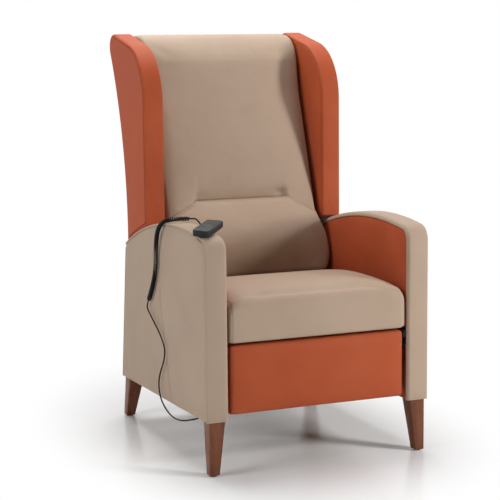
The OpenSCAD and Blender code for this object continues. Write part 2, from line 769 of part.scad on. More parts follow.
// The curly part: a helix round the smooth curve, with straight ends
fine_steps = 12;
curl_line = [for (i = [0:(len(curl_points) - 1) * fine_steps]) along(curl_points, i / fine_steps)];
curl_run = running(curl_line);
curl_l = curl_run[len(curl_run) - 1];
curl_turns = round((curl_l - 2 * cord_d) / curl_pitch);
curl_sides = 6;
rings_per_turn = 8;
function curl_at(s) = lookup(s, [for (i = [0:len(curl_run) - 1]) [curl_run[i], i]]);
function curl_centre(s) = let (
        f = curl_at(s),
        i = min(floor(f), len(curl_line) - 2)
    ) curl_line[i] + (curl_line[i + 1] - curl_line[i]) * (f - i);
function curl_way(s) = unit(curl_centre(min(s + 4, curl_l)) - curl_centre(max(s - 4, 0)));
function curl_point(k) = let (
        total = curl_turns * rings_per_turn,
        s = cord_d + (curl_l - 2 * cord_d) * k / total,
        w = curl_way(s),
        e = unit(cross(w, [0, 1, 0])),
        f = cross(w, e),
        a = 360 * k / rings_per_turn,
        r = (curl_d - cord_d) / 2 * smooth(k / rings_per_turn) * smooth((total - k) / rings_per_turn)
    ) curl_centre(s) + r * (cos(a) * e + sin(a) * f);
curl_rings = concat(
    [curl_line[0]],
    [for (k = [0:curl_turns * rings_per_turn]) curl_point(k)],
    [curl_line[len(curl_line) - 1]]
);

module cord_curl() {
    n = len(curl_rings) - 1;
    way = [for (i = [0:n]) unit(curl_rings[min(i + 1, n)] - curl_rings[max(i - 1, 0)])];
    color(black) place() skin([for (i = [0:n])
        let (
            w = way[i],
            e = unit(cross(w, [0, 1, 0.15])),
            f = cross(w, e)
        )
        [for (k = [0:curl_sides - 1]) let (a = -360 * k / curl_sides)
            curl_rings[i] + cord_d / 2 * (cos(a) * e + sin(a) * f)]]);
}

// Back frame
upright_outer_x = wing_inner_x + wing_pad_t;
upright_inner_x = upright_outer_x - upright_w;
upright_low_z = back_pivot_z - 14;
top_rail_gap = 22;
top_rail_h = 50;

// A bar of the back's frame that leans with the cushion, drawn out along x
module leaning_bar(low_z, top_z, from_x, to_x) {
    low_y = rear_y(low_z) + web_t;
    top_y = rear_y(top_z) + web_t;
    slab([[low_y, low_z], [top_y, top_z], [top_y + upright_d, top_z], [low_y + upright_d, low_z]],
        from_x, to_x);
}

module back_upright(side) {
    color(beech) place() on_side(side)
        leaning_bar(upright_low_z, upright_top_z, upright_inner_x, upright_outer_x);
}

module back_top_rail() {
    color(beech) place()
        leaning_bar(upright_top_z - top_rail_gap - top_rail_h, upright_top_z - top_rail_gap,
            -upright_inner_x, upright_inner_x);
}

bottom_rail_y = rear_y(back_pivot_z) + web_t;

module back_bottom_rail() {
    color(beech) place()
        block([-upright_inner_x, bottom_rail_y, back_pivot_z - 12],
            [upright_inner_x, bottom_rail_y + 25, back_pivot_z + 24]);
}

back_web_low_z = back_pivot_z + 88;
back_web_pitch = (upright_top_z - top_rail_gap - top_rail_h - web_w - back_web_low_z) / (webs - 1);

module back_webbing() {
    color(strap_brown) place()
        for (i = [0:webs - 1]) let (z = back_web_low_z + i * back_web_pitch, top_z = z + web_w)
            slab([[rear_y(z) + web_ease, z], [rear_y(top_z) + web_ease, top_z],
                [rear_y(top_z) + web_t - web_ease, top_z], [rear_y(z) + web_t - web_ease, z]],
                -wing_inner_x + 2, wing_inner_x - 2);
}

// Back cushion: rolled over at the top, full below the lumbar crease
back_low_z = seat_rear_z - 18;
back_tuck_z = seat_rear_z + 8;
roll_drop = 92;
roll_z = chair_h - roll_drop;
back_stations = [-1, -0.98, -0.93, -0.8, -0.62, -0.5, -0.3, 0, 0.3, 0.5, 0.62, 0.8, 0.93, 0.98, 1];

// The seam runs level in the middle and slopes down towards the wings
lumbar_h = 197;
function seam_z(u) = crease_z - 60 * max(0, (abs(u) - 0.57) / 0.43);
function puff(z, u) = let (
        d = (z - seam_z(u)) / 26,
        groove = 11 * exp(-d * d) * (abs(u) < 0.6 ? 1 : 0.55),
        below = max(0, min(1, (seam_z(u) - z) / lumbar_h)),
        lumbar = below > 0 ? lumbar_swell * pow(sin(180 * below), 0.85) : 0,
        upper = z > seam_z(u) ? 10 * sin(180 * min(1, (z - seam_z(u)) / 420)) : 0
    ) (lumbar + upper) * (1 - pow(abs(u), 4)) - groove;
function back_loop(u) = let (
        side = 1 - pow(abs(u), 20),
        pull = 9 * (1 - side),
        heights = [0, 0.03, 0.06, 0.1, 0.15, 0.2, 0.25, 0.29, 0.32, 0.345, 0.365, 0.4, 0.47, 0.57, 0.68, 0.79,
            0.9, 1]
    ) concat(
        [[seat_d + 14, back_low_z], [seat_d + 6, back_low_z + 6], [seat_d - 2, back_low_z + 19]],
        [for (h = heights) let (z = back_tuck_z + 4 + (roll_z - back_tuck_z - 4) * h)
            [face_y(z) + pull - puff(z, u) + 8 * pow(1 - min(1, h / 0.05), 2), z]],
        [for (k = [1:6]) let (a = 160 - 70 * k / 6)
            [face_y(roll_z) + 84 + 90 * cos(a) + pull * 0.5, roll_z + 88 * sin(a) * side
                + (1 - side) * 78 * sin(a) - 1]],
        [[wing_corner_y - 8, chair_h - 6 - pull], [wing_corner_y - 3, chair_h - 12 - pull],
            [wing_corner_y - 3, chair_h - 58], [rear_y(upright_top_z) + 8, chair_h - 60]],
        [for (k = [0:4]) let (z = upright_top_z + (back_low_z + 40 - upright_top_z) * k / 4) [rear_y(z), z]],
        [[rear_y(back_low_z) - 6, back_low_z]]
    );

module back_cushion() {
    color(beige) place()
        skin([for (u = back_stations) [for (p = back_loop(u)) [u * back_pad_half, p[0], p[1]]]]);
}

// Rear cover: a padded panel between the wings, following their hollow rear edge
cover_low_z = 352;

function cover_edge(inset) = concat(
    arc(wing_corner_y, wing_corner_z, wing_rear_r - inset, 92, hollow_end - 180, 8),
    arc(wing_hollow_y, wing_low_z, wing_hollow_r + inset, hollow_end, 180, 12),
    [[wing_low_y - inset, cover_low_z]]
);

module back_cover() {
    color(terracotta) place()
        slab(concat(cover_edge(cover_inset), reversed(cover_edge(cover_inset + cover_t))),
            -wing_inner_x + 0.3, wing_inner_x - 0.3);
}

module back_hinge_plates() {
    color(steel) place() for (side = [-1, 1]) on_side(side) difference() {
        union() {
            slab([[bottom_rail_y + 2, back_pivot_z - 10], [back_pivot_y, back_pivot_z - 16],
                [back_pivot_y + 14, back_pivot_z + 8], [back_pivot_y + 6, back_pivot_z + 78],
                [bottom_rail_y + 22, back_pivot_z + 78]], plate_inner_x, plate_outer_x);
            bar_x(back_pivot_y, back_pivot_z, 16, plate_inner_x, plate_outer_x);
        }
        bar_x(back_pivot_y, back_pivot_z, pin_r + pin_clearance, plate_inner_x - 1, plate_outer_x + 1);
    }
}

// Levers: a bar with a round end and a slot for the fork's pin
module lever(y, z, lean, slot_from, slot_to, slot_half, half, from_r, x) {
    translate([x - plate_t, y, z]) rotate([90, 0, 90]) linear_extrude(2 * plate_t) rotate(lean) difference() {
        union() {
            translate([-half, -slot_to]) square([2 * half, slot_to - from_r]);
            translate([0, -slot_to]) circle(r = half);
        }
        translate([-slot_half, -slot_to]) square([2 * slot_half, slot_to - slot_from]);
        translate([0, -slot_to]) circle(r = slot_half);
        translate([0, -slot_from]) circle(r = slot_half);
    }
}

module back_lever() {
    slot_half = pin_r + 1.6;
    color(steel) place() difference() {
        union() {
            lever(back_pivot_y, back_pivot_z, back_half_swing, back_lever_l - 2, back_lever_l + 10,
                slot_half, 18, 6, drive_x);
            block([drive_x - plate_t, bottom_rail_y + 20, back_pivot_z - 28],
                [drive_x + plate_t, back_pivot_y + 14, back_pivot_z + 22]);
        }
        block([drive_x - 10, bottom_rail_y - 20, back_pivot_z - 60],
            [drive_x + 10, bottom_rail_y + 25, back_pivot_z + 40]);
    }
}

// Leg rest: its upper front edge is round, about the hinge
rest_half = arm_inner_x - rest_gap;
rest_board_y = rest_face_y + rest_pad_t;
rest_board_t = 15;
rest_corner_r = 14;
rest_low_r = 10;

module rest_pad() {
    color(terracotta) place() slab(concat(
        arc(rest_face_y + rest_corner_r, rest_top_z - rest_corner_r, rest_corner_r, 180, 90, 8),
        [[rest_board_y, rest_top_z], [rest_board_y, rest_bottom_z]],
        arc(rest_face_y + rest_low_r, rest_bottom_z + rest_low_r, rest_low_r, 270, 180, 6)),
        -rest_half, rest_half);
}

module rest_board() {
    color(plywood) place()
        block([-plate_inner_x, rest_board_y, rest_bottom_z + 4],
            [plate_inner_x, rest_board_y + rest_board_t, rest_pivot_z - 12]);
}

module rest_hinge_plates() {
    color(steel) place() for (side = [-1, 1]) on_side(side) difference() {
        union() {
            bar_x(rest_pivot_y, rest_pivot_z, 12, plate_inner_x, plate_outer_x);
            slab([[rest_pivot_y - 2, rest_pivot_z - 12], [rest_pivot_y + 11, rest_pivot_z + 4],
                [rest_board_y + 13, rest_pivot_z - 30], [rest_board_y + 13, rest_pivot_z - 90],
                [rest_board_y - 4, rest_pivot_z - 90]], plate_inner_x, plate_outer_x);
        }
        bar_x(rest_pivot_y, rest_pivot_z, pin_r + pin_clearance, plate_inner_x - 1, plate_outer_x + 1);
    }
}

module rest_lever() {
    slot_half = pin_r + 3;
    color(steel) place() difference() {
        union() {
            lever(rest_pivot_y, rest_pivot_z, rest_half_swing, rest_lever_l, rest_lever_l + 24,
                slot_half, 17, 44, -drive_x);
            block([-drive_x - plate_t, rest_board_y + rest_board_t, rest_rod_z - 12],
                [-drive_x + plate_t, rest_board_y + rest_board_t + plate_t, rest_rod_z + 52]);
        }
        block([-drive_x - 10, rest_board_y - 20, rest_rod_z - 60],
            [-drive_x + 10, rest_board_y + rest_board_t, rest_rod_z + 80]);
    }
}

// Wings: a core with one sewn and padded cover round its edges and sides
module wing_frame(side) {
    color(plywood) place() on_side(side)
        slab(wing_outline(wing_pad_t), upright_outer_x, wing_outer_x - wing_pad_t);
}

// The core's outline, carried on below the wing's foot
wing_cut = concat(
    [for (p = wing_edge(wing_pad_t)) if (p[1] > crown_z(p[0], 0) + wing_gap) p],
    [[wing_low_y - wing_pad_t, crown_z(wing_low_y, 0) - 20],
        [wing_front_y + wing_pad_t, crown_z(wing_front_y, 0) - 20]]
);

module wing_cover(side) {
    color(terracotta) place() on_side(side) difference() {
        slab(wing_outline(0), wing_inner_x, wing_outer_x);
        slab(wing_cut, upright_outer_x, wing_outer_x - wing_pad_t);
        // the inner side is open behind the cushion, where the upright meets the core
        let (low_z = back_web_low_z, top_z = upright_top_z + 2, far = upright_d + 16)
            slab([[rear_y(low_z) + 1, low_z], [rear_y(top_z) + 1, top_z],
                [rear_y(top_z) + far, top_z], [rear_y(low_z) + far, low_z]],
                wing_inner_x - 1, upright_outer_x + 0.01);
    }
}

side_frame(-1);  // side_frame_left
side_frame(1);  // side_frame_right
outer_panel(-1);  // outer_panel_left
outer_panel(1);  // outer_panel_right
inner_panel(-1);  // inner_panel_left
inner_panel(1);  // inner_panel_right
arm_band(-1);  // arm_band_left
arm_band(1);  // arm_band_right
front_leg(-1);  // front_leg_left
front_leg(1);  // front_leg_right
rear_leg(-1);  // rear_leg_left
rear_leg(1);  // rear_leg_right
leg_glides();
leg_bolts();
seat_rail(-1);  // seat_rail_left
seat_rail(1);  // seat_rail_right
seat_front_rail();
seat_rear_rail();
rear_panel();
drive_crossbars();
seat_webbing();
seat_cushion();
back_hinge_brackets();
rest_hinge_brackets();
pivot_pins();
bracket_screws();
back_drive();
rest_drive();
back_drive_rod();
rest_drive_rod();
control_box();
cord_gland();
handset_base();
handset_cover();
handset_board();
button(0);  // button_back_up
button(1);  // button_back_down
button(2);  // button_rest_up
button(3);  // button_rest_down
cord_lead();
cord_curl();
cord_tail();
back_upright(-1);  // back_upright_left
back_upright(1);  // back_upright_right
back_top_rail();
back_bottom_rail();
back_webbing();
back_cushion();
back_cover();
back_hinge_plates();
back_lever();
wing_frame(-1);  // wing_frame_left
wing_frame(1);  // wing_frame_right
wing_cover(-1);  // wing_cover_left
wing_cover(1);  // wing_cover_right
rest_board();
rest_pad();
rest_hinge_plates();
rest_lever();
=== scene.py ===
# Powered recliner chair with wings: its covers, cushions, legs, handset and cord.
# Lengths in the dictionaries are millimetres, and y is counted from the front of the arms.
import bpy
import bmesh
from bmesh.types import BMEdge, BMFace, BMVert
import json
import math
from mathutils import Matrix, Vector, noise
from mathutils.bvhtree import BVHTree

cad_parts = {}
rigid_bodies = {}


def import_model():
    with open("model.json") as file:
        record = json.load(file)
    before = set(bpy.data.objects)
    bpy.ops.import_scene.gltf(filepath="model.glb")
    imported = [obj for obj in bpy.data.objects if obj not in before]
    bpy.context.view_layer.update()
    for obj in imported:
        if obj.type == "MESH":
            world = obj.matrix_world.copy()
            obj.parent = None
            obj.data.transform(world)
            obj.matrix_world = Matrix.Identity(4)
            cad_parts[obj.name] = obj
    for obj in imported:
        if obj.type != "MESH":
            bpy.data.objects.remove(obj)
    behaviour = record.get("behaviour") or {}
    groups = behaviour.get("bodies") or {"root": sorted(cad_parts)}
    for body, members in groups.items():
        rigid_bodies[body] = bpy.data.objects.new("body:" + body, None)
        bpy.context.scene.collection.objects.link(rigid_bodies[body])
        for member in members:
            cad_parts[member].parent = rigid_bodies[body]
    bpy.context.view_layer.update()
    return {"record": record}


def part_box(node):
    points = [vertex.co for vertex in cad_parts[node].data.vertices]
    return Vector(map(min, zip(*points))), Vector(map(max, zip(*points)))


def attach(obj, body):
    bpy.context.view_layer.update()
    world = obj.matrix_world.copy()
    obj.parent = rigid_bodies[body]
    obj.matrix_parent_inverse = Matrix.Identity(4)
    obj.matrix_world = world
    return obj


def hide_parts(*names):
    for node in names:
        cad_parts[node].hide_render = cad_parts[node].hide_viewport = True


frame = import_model()
scene = bpy.context.scene
print("stage 1: the packed chair is loaded")

chair = {"halfWidth": 335.0, "armInner": 271.0, "legHeight": 150.0, "midDepth": 425.0,
         "crownY": 210.0, "crownTop": 661.0, "crownRadius": 1100.0, "cornerRadius": 43.0,
         "topDepth": 673.0, "bottomDepth": 733.0, "rearDrop": 21.0, "backFootY": 478.0,
         "backFootZ": 458.0, "backRake": 0.336821}
crownZ = chair["crownTop"] - chair["crownRadius"]
cornerZ = crownZ + math.sqrt((chair["crownRadius"] - chair["cornerRadius"]) ** 2
                             - (chair["crownY"] - chair["cornerRadius"]) ** 2)
cornerEnd = math.atan2(cornerZ - crownZ, chair["cornerRadius"] - chair["crownY"])


# small tools for every piece
def at(x, y, z):
    return Vector((x, y - chair["midDepth"], z)) / 1000


# the arcs of the arms turn about these
cornerCentre = at(0, chair["cornerRadius"], cornerZ)
crownCentre = at(0, chair["crownY"], crownZ)


def underZ(y):
    # the lower edge of the arms falls a little towards the rear
    return chair["legHeight"] - chair["rearDrop"] * y / chair["bottomDepth"]


def armTop(y, inset=0.0):
    return crownZ + math.sqrt((chair["crownRadius"] - inset) ** 2 - (y - chair["crownY"]) ** 2)


def crownAngle(y, inset=0.0):
    return math.acos((y - chair["crownY"]) / (chair["crownRadius"] - inset))


def smoothStep(t):
    t = min(1.0, max(0.0, t))
    return t * t * (3 - 2 * t)


def tidyMesh(bm, near=0.00002):
    bmesh.ops.remove_doubles(bm, verts=bm.verts, dist=near)
    bmesh.ops.recalc_face_normals(bm, faces=bm.faces)


sides = ((-1, "Left"), (1, "Right"))


def onSide(bm, side):
    # a part is built on the viewer's right; the left one is its mirror image
    if side < 0:
        bmesh.ops.scale(bm, vec=(-1, 1, 1), verts=bm.verts)
        bmesh.ops.recalc_face_normals(bm, faces=bm.faces)


def only(geom, kind):
    # the vertices, edges or faces among what an operator gives back
    return [g for g in geom if isinstance(g, kind)]


def raiseFaces(bm, faces, vec):
    # pulls faces out into a solid block, and gives back what has moved
    moved = bmesh.ops.extrude_face_region(bm, geom=faces)["geom"]
    bmesh.ops.translate(bm, verts=only(moved, BMVert), vec=vec)
    return only(moved, BMVert), only(moved, BMFace)


def insetFaces(bm, faces, inward, outward):
    # draws a region in and lifts it, both in millimetres
    bmesh.ops.inset_region(bm, faces=faces, thickness=inward / 1000, depth=outward / 1000, use_even_offset=True)


def bevelEdges(bm, edges, size, steps=3):
    bmesh.ops.bevel(bm, geom=list(edges), offset=size / 1000, offset_type="OFFSET", segments=steps,
                    profile=0.5, affect="EDGES", clamp_overlap=True, material=-1)


def finishPiece(name, bm, body, slot, stands=(), sharpAngle=40, looks=None):
    # a piece gets its slot's finish, unless it is given others
    tidyMesh(bm)
    mesh = bpy.data.meshes.new(name)
    bm.to_mesh(mesh)
    bm.free()
    for look in looks or [partFinishes[slot]]:
        mesh.materials.append(look)
    mesh.shade_smooth()
    mesh.set_sharp_from_angle(angle=math.radians(sharpAngle))
    ob = bpy.data.objects.new(name, mesh)
    scene.collection.objects.link(ob)
    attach(ob, body)
    if stands:
        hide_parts(*stands)
    return ob


def sweepRing(bm, edges, moves):
    # carries a ring of edges along straight runs and round arcs about x
    for kind, *move in moves:
        if kind == "line":
            way, steps = move
            for _ in range(steps):
                out = bmesh.ops.extrude_edge_only(bm, edges=edges)["geom"]
                edges = only(out, BMEdge)
                bmesh.ops.translate(bm, verts=only(out, BMVert), vec=way / steps)
        else:
            centre, angle, steps = move
            verts = list({v for e in edges for v in e.verts})
            out = bmesh.ops.spin(bm, geom=verts + list(edges), cent=centre, axis=(1, 0, 0), angle=angle,
                                 steps=steps, use_merge=False)
            edges = only(out["geom_last"], BMEdge)
    return edges


def ringOf(bm, points):
    verts = [bm.verts.new(p) for p in points]
    return [bm.edges.new((verts[i], verts[(i + 1) % len(verts)])) for i in range(len(verts))]


def capRing(bm, edges, bevel=0.0):
    # closes a ring with a flat face, rounded off in two steps
    face = bmesh.ops.contextual_create(bm, geom=list(edges))["faces"]
    for part, out in ((0.4, 0.7), (0.6, 0.3)) if bevel else ():
        bmesh.ops.recalc_face_normals(bm, faces=bm.faces)
        insetFaces(bm, face, bevel * part, bevel * out)


def loftRings(bm, rings, capped=True):
    # joins rings of points with one another by bridging, first to last
    loops = [ringOf(bm, ring) for ring in rings]
    for a, b in zip(loops, loops[1:]):
        bmesh.ops.bridge_loops(bm, edges=a + b)
    if capped:
        bmesh.ops.contextual_create(bm, geom=loops[0])
        bmesh.ops.contextual_create(bm, geom=loops[-1])
    bmesh.ops.recalc_face_normals(bm, faces=bm.faces)


def outlineFace(bm, start, moves):
    # draws an outline with one point, straight to places and in arcs about x, and fills it
    vert = bm.verts.new(start)
    for kind, place, *arc in moves:
        if kind == "to":
            vert = bmesh.ops.extrude_vert_indiv(bm, verts=[vert])["verts"][0]
            vert.co = place
        else:
            out = bmesh.ops.spin(bm, geom=[vert], cent=place, axis=(1, 0, 0), angle=arc[0], steps=arc[1],
                                 use_merge=False)
            vert = only(out["geom_last"], BMVert)[0]
    bmesh.ops.remove_doubles(bm, verts=bm.verts, dist=0.0001)
    bm.edges.ensure_lookup_table()
    loose = [v for v in bm.verts if len(v.link_edges) == 1]
    if len(loose) == 2:
        bm.edges.new(loose)
    return bmesh.ops.contextual_create(bm, geom=bm.edges[:])["faces"][0]


def cutGrid(bm, faces, spacing, axes=(1, 2)):
    # cuts a flat region into a grid, so that it can be padded and creased
    for axis in axes:
        values = [v.co[axis] for f in faces for v in f.verts]
        count = max(1, int((max(values) - min(values)) * 1000 / spacing))
        normal = Vector((0, 0, 0))
        normal[axis] = 1
        for i in range(1, count):
            place = Vector((0, 0, 0))
            place[axis] = min(values) + (max(values) - min(values)) * i / count
            geom = list(faces) + list({e for f in faces for e in f.edges}) \
                + list({v for f in faces for v in f.verts})
            out = bmesh.ops.bisect_plane(bm, geom=geom, plane_co=place, plane_no=normal, dist=0.00001)
            faces = only(out["geom"], BMFace)
    return faces


def lineDistance(p, a, b):
    span = b - a
    t = max(0.0, min(1.0, (p - a).dot(span) / max(span.length_squared, 1e-12)))
    return (a + span * t - p).length


padSpec = {"reach": 38.0, "rippleSize": 9.0}    # how soon the padding is full, and the ripples' scale


def padSide(bm, face, thick, outward, edge, swell, spacing=22, ripple=0.0, seam=None, axes=(1, 2)):
    # turns a flat outline into a padded panel: walls, rounded rim, swollen middle
    rim = [v.co.copy() for v in face.verts]
    top = raiseFaces(bm, [face], outward * (thick - edge) / 1000)[1]
    bmesh.ops.recalc_face_normals(bm, faces=bm.faces)
    last = 0.0
    for step in (30, 60, 90):
        turn = math.radians(step)
        insetFaces(bm, top, edge * ((1 - math.cos(turn)) - (1 - math.cos(last))),
                   edge * (math.sin(turn) - math.sin(last)))
        last = turn
    if seam:
        insetFaces(bm, top, seam["from"], 0.0)
        insetFaces(bm, top, seam["width"] / 2, -seam["depth"])
        insetFaces(bm, top, seam["width"] / 2, seam["depth"])
    top = cutGrid(bm, top, spacing, axes)
    for v in {v for f in top for v in f.verts}:
        near = min(lineDistance(v.co, rim[i - 1], rim[i]) for i in range(len(rim))) * 1000
        lift = swell * (1 - math.exp(-(near / padSpec["reach"])))
        if ripple:
            lift += ripple * noise.noise(v.co * padSpec["rippleSize"])
        v.co += outward * lift / 1000


# camera, found from the corners of the arms, legs and wings
camSpec = {"place": (-1.7009, -3.9827, 1.1617), "turn": 22.327, "tilt": 7.773, "roll": 0.637,
           "lens": 105.59, "shiftX": 0.02345, "shiftY": -0.01726}
turn, tilt, roll = (math.radians(camSpec[k]) for k in ("turn", "tilt", "roll"))
ahead = Vector((math.sin(turn) * math.cos(tilt), math.cos(turn) * math.cos(tilt), -math.sin(tilt)))
across = Vector((math.cos(turn), -math.sin(turn), 0.0))
upward = across.cross(ahead)
camRight = across * math.cos(roll) - upward * math.sin(roll)
camUp = across * math.sin(roll) + upward * math.cos(roll)
camData = bpy.data.cameras.new("photoCamera")
camData.lens = camSpec["lens"]
camData.sensor_width = 36.0
camData.shift_x = camSpec["shiftX"]
camData.shift_y = camSpec["shiftY"]
camera = bpy.data.objects.new("photoCamera", camData)
camera.matrix_world = Matrix((
    (camRight.x, camUp.x, -ahead.x, camSpec["place"][0]),
    (camRight.y, camUp.y, -ahead.y, camSpec["place"][1]),
    (camRight.z, camUp.z, -ahead.z, camSpec["place"][2]),
    (0, 0, 0, 1)))
scene.collection.objects.link(camera)
scene.camera = camera
print("stage 2: camera set")


# shared effects for the finishes
def plug(tree, socket, value):
    # gives a socket a number, a colour or the output of another node
    if isinstance(value, (int, float, tuple)):
        socket.default_value = value
    else:
        tree.links.new(value, socket)


def addNode(tree, kind, **values):
    # values are settings of the node itself, or go to the sockets with those names
    node = tree.nodes.new("ShaderNode" + kind)
    for key, value in values.items():
        if hasattr(node, key):
            setattr(node, key, value)
        else:
            plug(tree, node.inputs[key], value)
    return node


def newEffect(name, inputs, outputs):
    tree = bpy.data.node_groups.new(name, "ShaderNodeTree")
    for label, kind, value in [("Vector", "Vector", None)] + inputs:
        socket = tree.interface.new_socket(name=label, in_out="INPUT", socket_type="NodeSocket" + kind)
        if value is not None:
            socket.default_value = value
    for label, kind in outputs:
        tree.interface.new_socket(name=label, in_out="OUTPUT", socket_type="NodeSocket" + kind)
    return tree, tree.nodes.new("NodeGroupInput").outputs, tree.nodes.new("NodeGroupOutput").inputs


def math2(tree, operation, a, b=None):
    node = addNode(tree, "Math", operation=operation)
    for i, value in enumerate((a, b)):
        if value is not None:
            plug(tree, node.inputs[i], value)
    return node.outputs[0]


def times(tree, a, b):
    return math2(tree, "MULTIPLY", a, b)


def mixTones(tree, factor, a, b):
    node = addNode(tree, "Mix", data_type="RGBA")
    for i, value in ((0, factor), (6, a), (7, b)):
        plug(tree, node.inputs[i], value)
    return node.outputs[2]


def mapRange(tree, value, fromMin, fromMax, toMin, toMax, smooth=False):
    node = addNode(tree, "MapRange", interpolation_type="SMOOTHSTEP" if smooth else "LINEAR")
    for i, v in enumerate((value, fromMin, fromMax, toMin, toMax)):
        plug(tree, node.inputs[i], v)
    return node.outputs[0]


def makeGrainEffect():
    # pebbled cells with fine pores between them, as on embossed leatherette
    tree, given, gives = newEffect("pebbleGrain", [("Cells", "Float", 900.0), ("Pores", "Float", 0.35)],
                                   [("Height", "Float"), ("Valley", "Float")])
    wobble = addNode(tree, "TexNoise", Vector=given["Vector"], Scale=260.0, Detail=2.0)
    bent = addNode(tree, "VectorMath", operation="MULTIPLY_ADD")
    for i, value in enumerate((wobble.outputs["Color"], (0.0012, 0.0012, 0.0012), given["Vector"])):
        plug(tree, bent.inputs[i], value)
    cells = addNode(tree, "TexVoronoi", feature="DISTANCE_TO_EDGE", Vector=bent.outputs[0], Scale=given["Cells"])
    dome = mapRange(tree, cells.outputs["Distance"], 0.0, 0.32, 0.0, 1.0, True)
    fine = addNode(tree, "TexNoise", Vector=given["Vector"], Scale=2600.0, Detail=2.0)
    plug(tree, gives["Height"], math2(tree, "ADD", dome, times(tree, fine.outputs["Fac"], given["Pores"])))
    plug(tree, gives["Valley"], mapRange(tree, cells.outputs["Distance"], 0.0, 0.09, 1.0, 0.0))
    return tree


def makeDriftEffect():
    # slow change of tone over a piece, from dye, handling and light
    tree, given, gives = newEffect("toneDrift", [
        ("Tone", "Color", (0.5, 0.5, 0.5, 1)), ("Deep", "Color", (0.4, 0.4, 0.4, 1)),
        ("Pale", "Color", (0.6, 0.6, 0.6, 1)), ("Size", "Float", 3.0), ("Amount", "Float", 0.5)],
        [("Tone", "Color"), ("Mottle", "Float")])
    broad = addNode(tree, "TexNoise", Vector=given["Vector"], Scale=given["Size"], Detail=3.0, Roughness=0.55)
    mixed = given["Tone"]
    for shade, nothing, full in (("Deep", 0.52, 0.30), ("Pale", 0.50, 0.72)):
        share = mapRange(tree, broad.outputs["Fac"], nothing, full, 0.0, 1.0, True)
        mixed = mixTones(tree, times(tree, share, given["Amount"]), mixed, given[shade])
    plug(tree, gives["Tone"], mixed)
    plug(tree, gives["Mottle"], broad.outputs["Fac"])
    return tree


def makeRubEffect():
    # where edges and ridges are rubbed by hands, and the hollows: dust there in the hard finishes, painted shade in
    # the leatherettes
    tree, given, gives = newEffect("edgeRub", [("Reach", "Float", 0.06), ("Break", "Float", 40.0)],
                                   [("Ridge", "Float"), ("Hollow", "Float")])
    shape = addNode(tree, "NewGeometry")
    patchy = addNode(tree, "TexNoise", Vector=given["Vector"], Scale=given["Break"], Detail=4.0)
    share = math2(tree, "DIVIDE", math2(tree, "SUBTRACT", shape.outputs["Pointiness"], 0.5), given["Reach"])
    for label, amount in (("Ridge", mapRange(tree, patchy.outputs["Fac"], 0.35, 0.65, 0.3, 1.0)), ("Hollow", -1.0)):
        plug(tree, gives[label], addNode(tree, "Clamp", Value=times(tree, share, amount)).outputs[0])
    return tree


def makeTimberEffect():
    # growth rings stretched along the timber, with darker pores
    tree, given, gives = newEffect("timberFigure", [
        ("Spring", "Color", (0.5, 0.3, 0.2, 1)), ("Summer", "Color", (0.3, 0.2, 0.1, 1)), ("Rings", "Float", 60.0)],
        [("Tone", "Color"), ("Height", "Float")])
    warp = addNode(tree, "TexNoise", Vector=given["Vector"], Scale=9.0, Detail=3.0)
    lines = addNode(tree, "TexNoise", Vector=given["Vector"], Scale=given["Rings"], Detail=5.0, Roughness=0.65,
                    Distortion=0.4)
    blend = mapRange(tree, lines.outputs["Fac"], 0.34, 0.68, 0.0, 1.0, True)
    grown = mixTones(tree, blend, given["Summer"], given["Spring"])
    shaded = addNode(tree, "VectorMath", operation="SCALE")
    plug(tree, shaded.inputs[0], grown)
    plug(tree, shaded.inputs["Scale"], mapRange(tree, warp.outputs["Fac"], 0.3, 0.7, 0.88, 1.1))
    plug(tree, gives["Tone"], shaded.outputs[0])
    plug(tree, gives["Height"], lines.outputs["Fac"])
    return tree


def makeSpeckEffect():
    # fine texture of moulded plastic, powder coat or cast metal
    tree, given, gives = newEffect("fineSpeck", [("Size", "Float", 1500.0), ("Mottle", "Float", 12.0)],
                                   [("Height", "Float"), ("Smudge", "Float")])
    small = addNode(tree, "TexNoise", Vector=given["Vector"], Scale=given["Size"], Detail=3.0)
    smudge = addNode(tree, "TexNoise", Vector=given["Vector"], Scale=given["Mottle"], Detail=4.0, Roughness=0.6)
    plug(tree, gives["Height"], small.outputs["Fac"])
    plug(tree, gives["Smudge"], smudge.outputs["Fac"])
    return tree


def makeWeaveEffect():
    # plain weave of a webbing strap: threads over and under each other
    tree, given, gives = newEffect("strapWeave", [("Threads", "Float", 520.0)],
                                   [("Height", "Float"), ("Shadow", "Float")])
    parts = addNode(tree, "SeparateXYZ", Vector=given["Vector"])
    along = math2(tree, "ADD", parts.outputs["Y"], parts.outputs["Z"])
    weave = times(tree, *[math2(tree, "SINE", times(tree, times(tree, source, given["Threads"]), math.pi))
                          for source in (parts.outputs["X"], along)])
    plug(tree, gives["Height"], mapRange(tree, weave, -1.0, 1.0, 0.0, 1.0))
    plug(tree, gives["Shadow"], mapRange(tree, math2(tree, "ABSOLUTE", weave), 0.0, 0.35, 1.0, 0.0))
    return tree


grainEffect = makeGrainEffect()
driftEffect = makeDriftEffect()
rubEffect = makeRubEffect()
timberEffect = makeTimberEffect()
speckEffect = makeSpeckEffect()
weaveEffect = makeWeaveEffect()


def newFinish(name):
    look = bpy.data.materials.new(name)
    look.use_nodes = True
    tree = look.node_tree
    return look, tree, tree.nodes["Principled BSDF"], addNode(tree, "TexCoord").outputs["Object"]


def useEffect(tree, effect, **values):
    return addNode(tree, "Group", node_tree=effect, **values)


def setShader(tree, shader, sockets):
    for label, value in sockets.items():
        plug(tree, shader.inputs[label], value)


def addBump(tree, shader, height, distance, under=None):
    bump = addNode(tree, "Bump", Distance=distance, Height=height)
    if under is not None:
        plug(tree, bump.inputs["Normal"], under)
    plug(tree, shader.inputs["Normal"], bump.outputs["Normal"])


def stretched(tree, vector, scale):
    return addNode(tree, "Mapping", Vector=vector, Scale=scale).outputs["Vector"]


